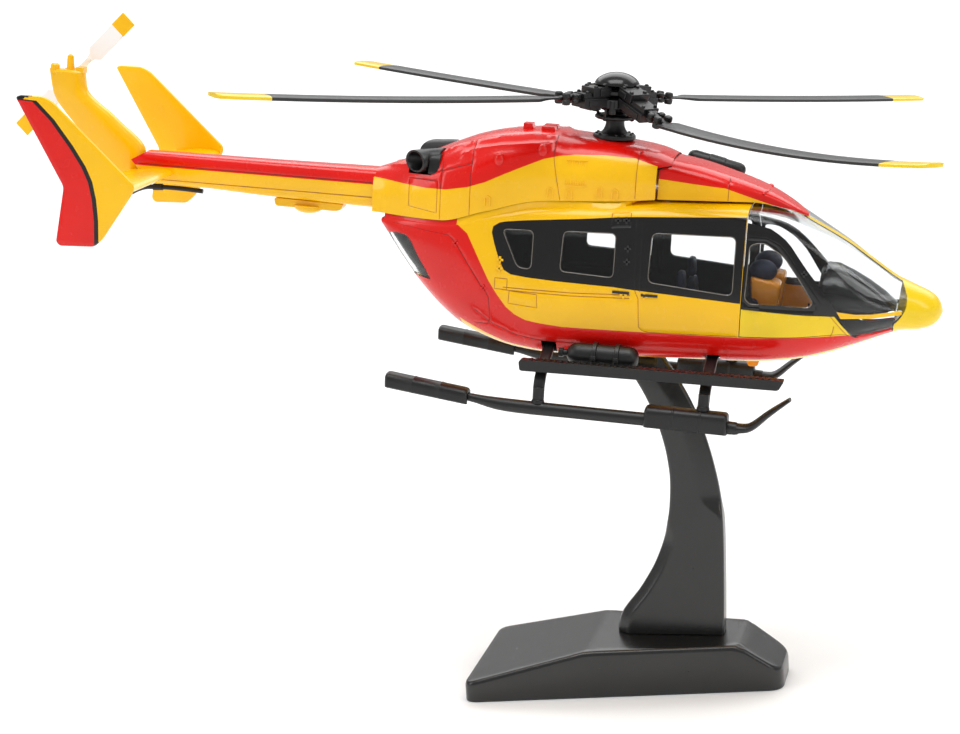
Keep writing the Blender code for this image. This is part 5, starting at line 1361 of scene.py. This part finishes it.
def make_rotor_head():
    head = Pile(SATIN)
    head.add(turned(((2.6, -4.4), (3.2, -4.0), (4.4, -3.4), (4.7, -3.0), (4.7, -0.9), (4.2, -0.4),
                     (3.6, 0.0), (3.4, 0.4), (3.4, 1.9)), sides=36))
    head.add(turned(((5.0, 0.5), (5.3, 0.7), (5.3, 1.5), (5.0, 1.7)), sides=36))
    for azimuth, start, *droop in BLADES:
        z = blade_height(GRIP_MIDDLE, start, *droop)
        turn = Matrix.Rotation(math.radians(azimuth), 4, "Z")
        tilt = math.atan2(blade_height(start, start, *droop) - z, start - GRIP_MIDDLE)
        lift = turn @ Matrix.Translation((GRIP_MIDDLE, 0, z)) @ Matrix.Rotation(-tilt, 4, "Y")
        reach = start - SHORTEST_START           # how much farther this blade's cuff stands out
        for low, high in (((-7.4, -2.2, -1.9), (-4.0, 2.2, 1.6)),
                          ((-7.2, -3.0, 0.2), (-1.6, 3.0, 2.7)),
                          ((-6.4, -3.4, 0.5), (-3.6, 3.4, 2.2)),
                          ((-6.2, -3.2, -2.6), (1.2 + reach, 3.2, -0.2)),
                          ((-3.8, -3.5, -2.2), (-0.2 + reach, 3.5, -0.7)),
                          ((-5.6, -2.6, -0.5), (0.6 + reach, 2.6, 0.5)),
                          ((-1.4, -2.5, -0.2), (1.0 + reach, 2.5, 1.2)),
                          ((0.6 + reach, -1.3, -1.3), (2.6 + reach, 1.3, 0.9)),
                          ((-4.4, -2.6, -3.3), (-1.0, 2.6, -2.5))):
            head.add(block(low, high), 0, lift)
        for bx, by in ((-6.2, -2.2), (-6.2, 2.2), (-2.8, -2.2), (-2.8, 2.2)):
            head.add(turned(((0.6, 2.6), (0.6, 3.0), (0.35, 3.2)), (bx, by, 0), 12), 0, lift)
        for bx, by in ((-0.2, -2.0), (-0.2, 2.0)):
            head.add(turned(((0.5, 1.1), (0.5, 1.6), (0.3, 1.8)), (bx + reach, by, 0), 12), 0,
                     lift)
        for x, radius, high in ((3.4, 1.25, 1.0), (6.2, 1.45, 1.35)):
            for side in (1, -1):
                head.add(turned(((radius * 0.55, -high - 0.25), (radius * 0.75, -high),
                                 (radius * 0.8, -0.4), (radius * 0.6, 0.0), (radius * 0.8, 0.4),
                                 (radius * 0.75, high), (radius * 0.5, high + 0.3)),
                                (x + reach, side * 1.75, -0.1), 16), 0, lift)
            head.add(block((x + reach - 0.7, -1.8, -0.7), (x + reach + 0.7, 1.8, 0.5)), 0, lift)
        neck = [(x + reach, 0, -0.1) for x in (2.2, 3.6, 4.8, 6.2, 8.4)]
        head.add(tube(neck, [1.0, 0.9, 0.75, 0.8, 0.55], 16, [1.5, 1.2, 0.9, 1.3, 1.3]), 0, lift)
        side_turn = turn @ Matrix.Rotation(math.radians(45), 4, "Z")
        head.add(block((2.6, -1.5, -2.8), (6.0, 1.5, -0.6)), 0, side_turn)
        head.add(turned(((0.9, -4.4), (0.9, -0.9), (0.6, -0.7)), (5.4, 0, 0), 14), 0, side_turn)
    head.make("rotor_head", body="main_rotor", replaces=["rotor_hub"], slot="black_plastic",
              bevel=0.22)

    cap = ((2.9, 1.5), (3.6, 1.9), (4.7, 2.8), (5.7, 2.95), (5.95, 3.15), (5.95, 3.45),
           (5.75, 3.85), (5.35, 4.35), (4.8, 4.85), (4.0, 5.35), (3.0, 5.8), (2.0, 6.08),
           (0.9, 6.26), (0.2, 6.3))
    make("cap_dome", *turned(cap, sides=48), [BLACK_GLOSS], body="main_rotor",
         replaces=["hub_cap"], slot="black_plastic")
    swash = Pile(SATIN)
    swash.add(turned(((2.95, -6.1), (5.0, -6.1), (5.5, -5.8), (5.5, -5.3), (5.0, -5.0),
                      (2.95, -4.9)), sides=36))
    for azimuth, *_ in BLADES:
        turn = Matrix.Rotation(math.radians(azimuth + 22), 4, "Z")
        swash.add(tube(((5.0, 0, -5.6), (5.3, 0.3, -4.4), (5.6, 0.6, -3.0)), 0.42, 10), 0, turn)
        swash.add(egg((5.0, 0, -5.6), (0.8, 0.8, 0.8), 12), 0, turn)
    swash.make("swash_ring", body="main_rotor", replaces=["swashplate"], slot="black_plastic",
               bevel=0.1)
    make("shaft", *turned(((1.0, -20.0), (1.15, -19.6), (1.15, -4.2)), sides=24), [STEEL],
         body="main_rotor", replaces=["rotor_shaft"], slot="steel")

    mast = Pile(SATIN)
    mast.add(turned(((5.2, -11.6), (5.65, -11.3), (5.75, -10.8), (5.6, -10.25), (5.2, -10.1),
                     (4.2, -10.0), (3.5, -9.6), (3.0, -9.0), (2.65, -8.2), (2.5, -7.5), (2.45, -4.7),
                     (2.2, -4.5)), sides=40))
    for a in circle(12, 0.5):
        mast.add(turned(((0.42, -10.4), (0.42, -9.85), (0.25, -9.7)),
                        (4.8 * math.cos(a), 4.8 * math.sin(a), 0), 8))
    mast.make("mast_column", replaces=["mast_support"], slot="black_plastic", bevel=0.08)


def make_tail_rotor():
    x, y, z = TAIL_HUB
    pile = Pile(WHITE)
    pile.add(turned(((0.9, -1.1), (1.6, -1.0), (1.85, -0.7), (1.85, 0.6), (1.5, 0.9), (0.9, 1.5),
                     (0.4, 1.6)), (x, y, z), 24, "y"))
    pile.make("tail_hub", body="tail_rotor", replaces=["tail_rotor_hub"], slot="white_paint")
    angle, half = math.radians(46.0), 2.4
    for number, sign in ((1, 1), (2, -1)):
        pile = Pile(WHITE, YELLOW)

        def at(r, w, out):
            u = sign * r
            return (x + u * math.cos(angle) - w * math.sin(angle), y + out,
                    z + u * math.sin(angle) + w * math.cos(angle))

        arm = loft([[at(r, w, o) for w, o in ((-h, -t), (h, -t), (h, t), (-h, t))]
                    for r, h, t in ((1.6, 0.9, 0.5), (3.0, 0.8, 0.45), (6.2, 0.8, 0.4),
                                    (7.4, 1.1, 0.34), (8.8, half, 0.3), (18.35, half, 0.28))])
        tip = loft([[at(r, w, o) for w, o in ((-half, -0.3), (half, -0.3), (half, 0.3),
                                              (-half, 0.3))] for r in (18.3, 23.1)])
        pile.add(arm, 0).add(tip, 1)
        pile.add(turned(((0.55, -0.55), (0.55, 0.55)), at(6.4, 0, 0), 12, "y"), 0)
        pile.make(f"tail_rotor_blade_{number}", body="tail_rotor", bevel=0.12,
                  replaces=[f"tail_blade_{number}"], slot="white_paint")


# ---- stand ----------------------------------------------------------------------------------
BASE_REAR, BASE_FRONT, BASE_CORNER, BASE_ROLL = -43.05, 43.05, 4.5, 1.5
BASE_FOLDS = (-9.5, 31.6)                        # where the top's slope changes
ARM_LEFT = curve((-148.4, -6.9), (-145, -6.2), (-136, 0.2), (-128.5, 4.6), (-120.5, 7.6),
                 (-112, 9.3), (-105, 9.7), (-99, 9.2), (-91, 7.5), (-83, 4.6), (-76, 1.0),
                 (-69.6, -3.0))
ARM_RIGHT = curve((-148.4, 22.9), (-135, 23.5), (-118, 23.9), (-110, 23.3), (-102, 22.0),
                  (-92, 19.5), (-85, 17.0), (-78, 13.6), (-69.6, 9.2))
ARM_HALF = curve((-148.4, 3.4), (-120, 3.0), (-95, 2.6), (-69.6, 2.4))


def base_height(x):
    rear, front = BASE_FOLDS
    if x < rear:
        share = (x - BASE_REAR) / (rear - BASE_REAR)
    else:
        share = min(1.0, (BASE_FRONT - x) / (BASE_FRONT - front))
    return 5.5 + 7.8 * share


def make_stand():
    corners = [(BASE_REAR, -24.47), (BASE_FRONT, -9.83), (BASE_FRONT, 9.83), (BASE_REAR, 24.47)]

    def outline(inset):
        inner = grown(corners, -inset)
        return resampled(closed(arc_corners(inner, BASE_CORNER - inset, 9)), 3.0)[:-1]

    rings = [[(x, y, z) for x, y in outline(inset)]
             for inset, z in ((0.5, 0.0), (0.15, 0.15), (0.0, 0.6))]
    count = len(rings[0])
    for a in np.radians(np.linspace(0, 90, 7)):
        ring = outline(BASE_ROLL * (1 - math.cos(a)))
        rings.append([(x, y, base_height(x) - BASE_ROLL * (1 - math.sin(a))) for x, y in ring])
    rings = [r for r in rings if len(r) == count]             # only rings that match the first
    verts = [p for ring in rings for p in ring]
    faces = bands(len(rings), count)
    inner = [(p[0], p[1]) for p in rings[-1]]
    xs = np.arange(BASE_REAR + 3, BASE_FRONT - 2, 2.0)
    grid = [(x, y) for x in xs for y in np.arange(-24, 24.1, 2.0)]
    px, py = np.array([g[0] for g in grid]), np.array([g[1] for g in grid])
    good = inside(px, py, inner) & (gap_to(px, py, [closed(inner)]) > 1.0)
    points = inner + [tuple(g) for g, k in zip(grid, good) if k]
    edges = [(i, (i + 1) % count) for i in range(count)]
    folds = []
    for x in BASE_FOLDS:
        folds += [(x, y) for y in np.arange(-26, 26, 1.0)
                  if inside(np.array([x]), np.array([y]), inner)[0]]
    points += folds
    flat, _, tris, *_ = delaunay_2d_cdt([Vector(p) for p in points], edges, [], 1, 1e-5)
    start = len(verts)
    verts += [(v.x, v.y, base_height(v.x)) for v in flat]
    faces += [tuple(start + i for i in t) for t in tris]
    faces.append(tuple(range(count))[::-1])
    make("base_block", verts, faces, [STAND_BLACK], body="stand", matrix=STAND, weld=1e-3,
         replaces=["stand_base"], slot="stand_black", angle=60)

    rings = []
    for height in [-148.9] + list(np.linspace(-148.4, -76, 40)):
        left, right, half = (float(c(height)) for c in (ARM_LEFT, ARM_RIGHT, ARM_HALF))
        low, high = float(ramp(height, -117, -122)), float(ramp(height, -116, -110))
        section = [(left, half * (0.75 - 0.45 * low)), (left + 0.8 + 2.5 * low, half),
                   (right - 0.8 - 4.6 * high, half), (right, half * (0.85 - 0.45 * high))]
        section += [(x, -y) for x, y in section[::-1]]
        soft = arc_corners(section, 0.9, 4)
        rings.append([(x + HUB.x / MM, y, height + HUB.z / MM) for x, y in soft])
    inverse = Matrix.Scale(1 / MM, 4) @ TO_ROW
    for length, wide, height in ((12.2, 4.8, -68.9), (11.6, 4.2, -68.7), (8.0, 3.4, -68.6),
                                 (8.0, 3.4, -61.6), (7.4, 2.8, -61.2)):
        x0, x1, y = 10 - length / 2, 10 + length / 2, wide / 2
        section = [(x0, y * 0.7), (x0 + 1, y), (x1 - 1, y), (x1, y * 0.7)]
        section += [(x, -w) for x, w in section[::-1]]
        soft = arc_corners(section, 0.9, 4)
        rings.append([tuple(inverse @ Vector((x, w, height))) for x, w in soft])
    make("arm_blade", *loft(rings), [STAND_BLACK], body="stand", matrix=STAND, angle=60,
         replaces=["stand_arm"], slot="stand_black")


# ---- studio ---------------------------------------------------------------------------------
def area_light(name, place, aim, size, power):
    light = bpy.data.lights.new(name, "AREA")
    light.shape = "RECTANGLE"
    light.size, light.size_y = size
    light.energy = power
    lamp = bpy.data.objects.new(name, light)
    bpy.context.scene.collection.objects.link(lamp)
    lamp.location = place
    lamp.rotation_euler = (Vector(aim) - Vector(place)).to_track_quat("-Z", "Y").to_euler()


def make_studio():
    mesh = bpy.data.meshes.new("floor")
    mesh.from_pydata([(-6, -6, 0), (6, -6, 0), (6, 6, 0), (-6, 6, 0)], [], [(0, 1, 2, 3)])
    floor_paint = finish("floor_paper", (0.93, 0.93, 0.93, 1), 0.7, tint=0.01, tint_scale=3.0)
    mesh.materials.append(floor_paint)
    ground = bpy.data.objects.new("floor", mesh)
    bpy.context.scene.collection.objects.link(ground)
    world = bpy.data.worlds.new("studio")
    world.use_nodes = True
    world.node_tree.nodes["Background"].inputs["Color"].default_value = (1, 1, 1, 1)
    world.node_tree.nodes["Background"].inputs["Strength"].default_value = 0.45
    bpy.context.scene.world = world
    area_light("key", (0.05, -0.3, 1.5), (0, 0, 0.1), (1.2, 0.8), 14.0)
    area_light("backdrop", (0, 3.2, 2.2), (0, 3.2, 0), (6.0, 4.0), 150.0)
    area_light("left", (-1.1, -0.6, 0.7), (0, 0, 0.1), (0.3, 0.9), 2.6)
    area_light("right", (1.1, -0.6, 0.7), (0, 0, 0.12), (0.3, 0.9), 2.6)
    bpy.context.scene.view_settings.view_transform = "Standard"


make_camera()
make_studio()
make_pod()
make_window_rims()
make_radome()
make_cowling()
make_exhausts()
make_tail()
make_undercarriage()
make_fittings()
make_cabin()
make_blades()
make_rotor_head()
make_tail_rotor()
make_stand()
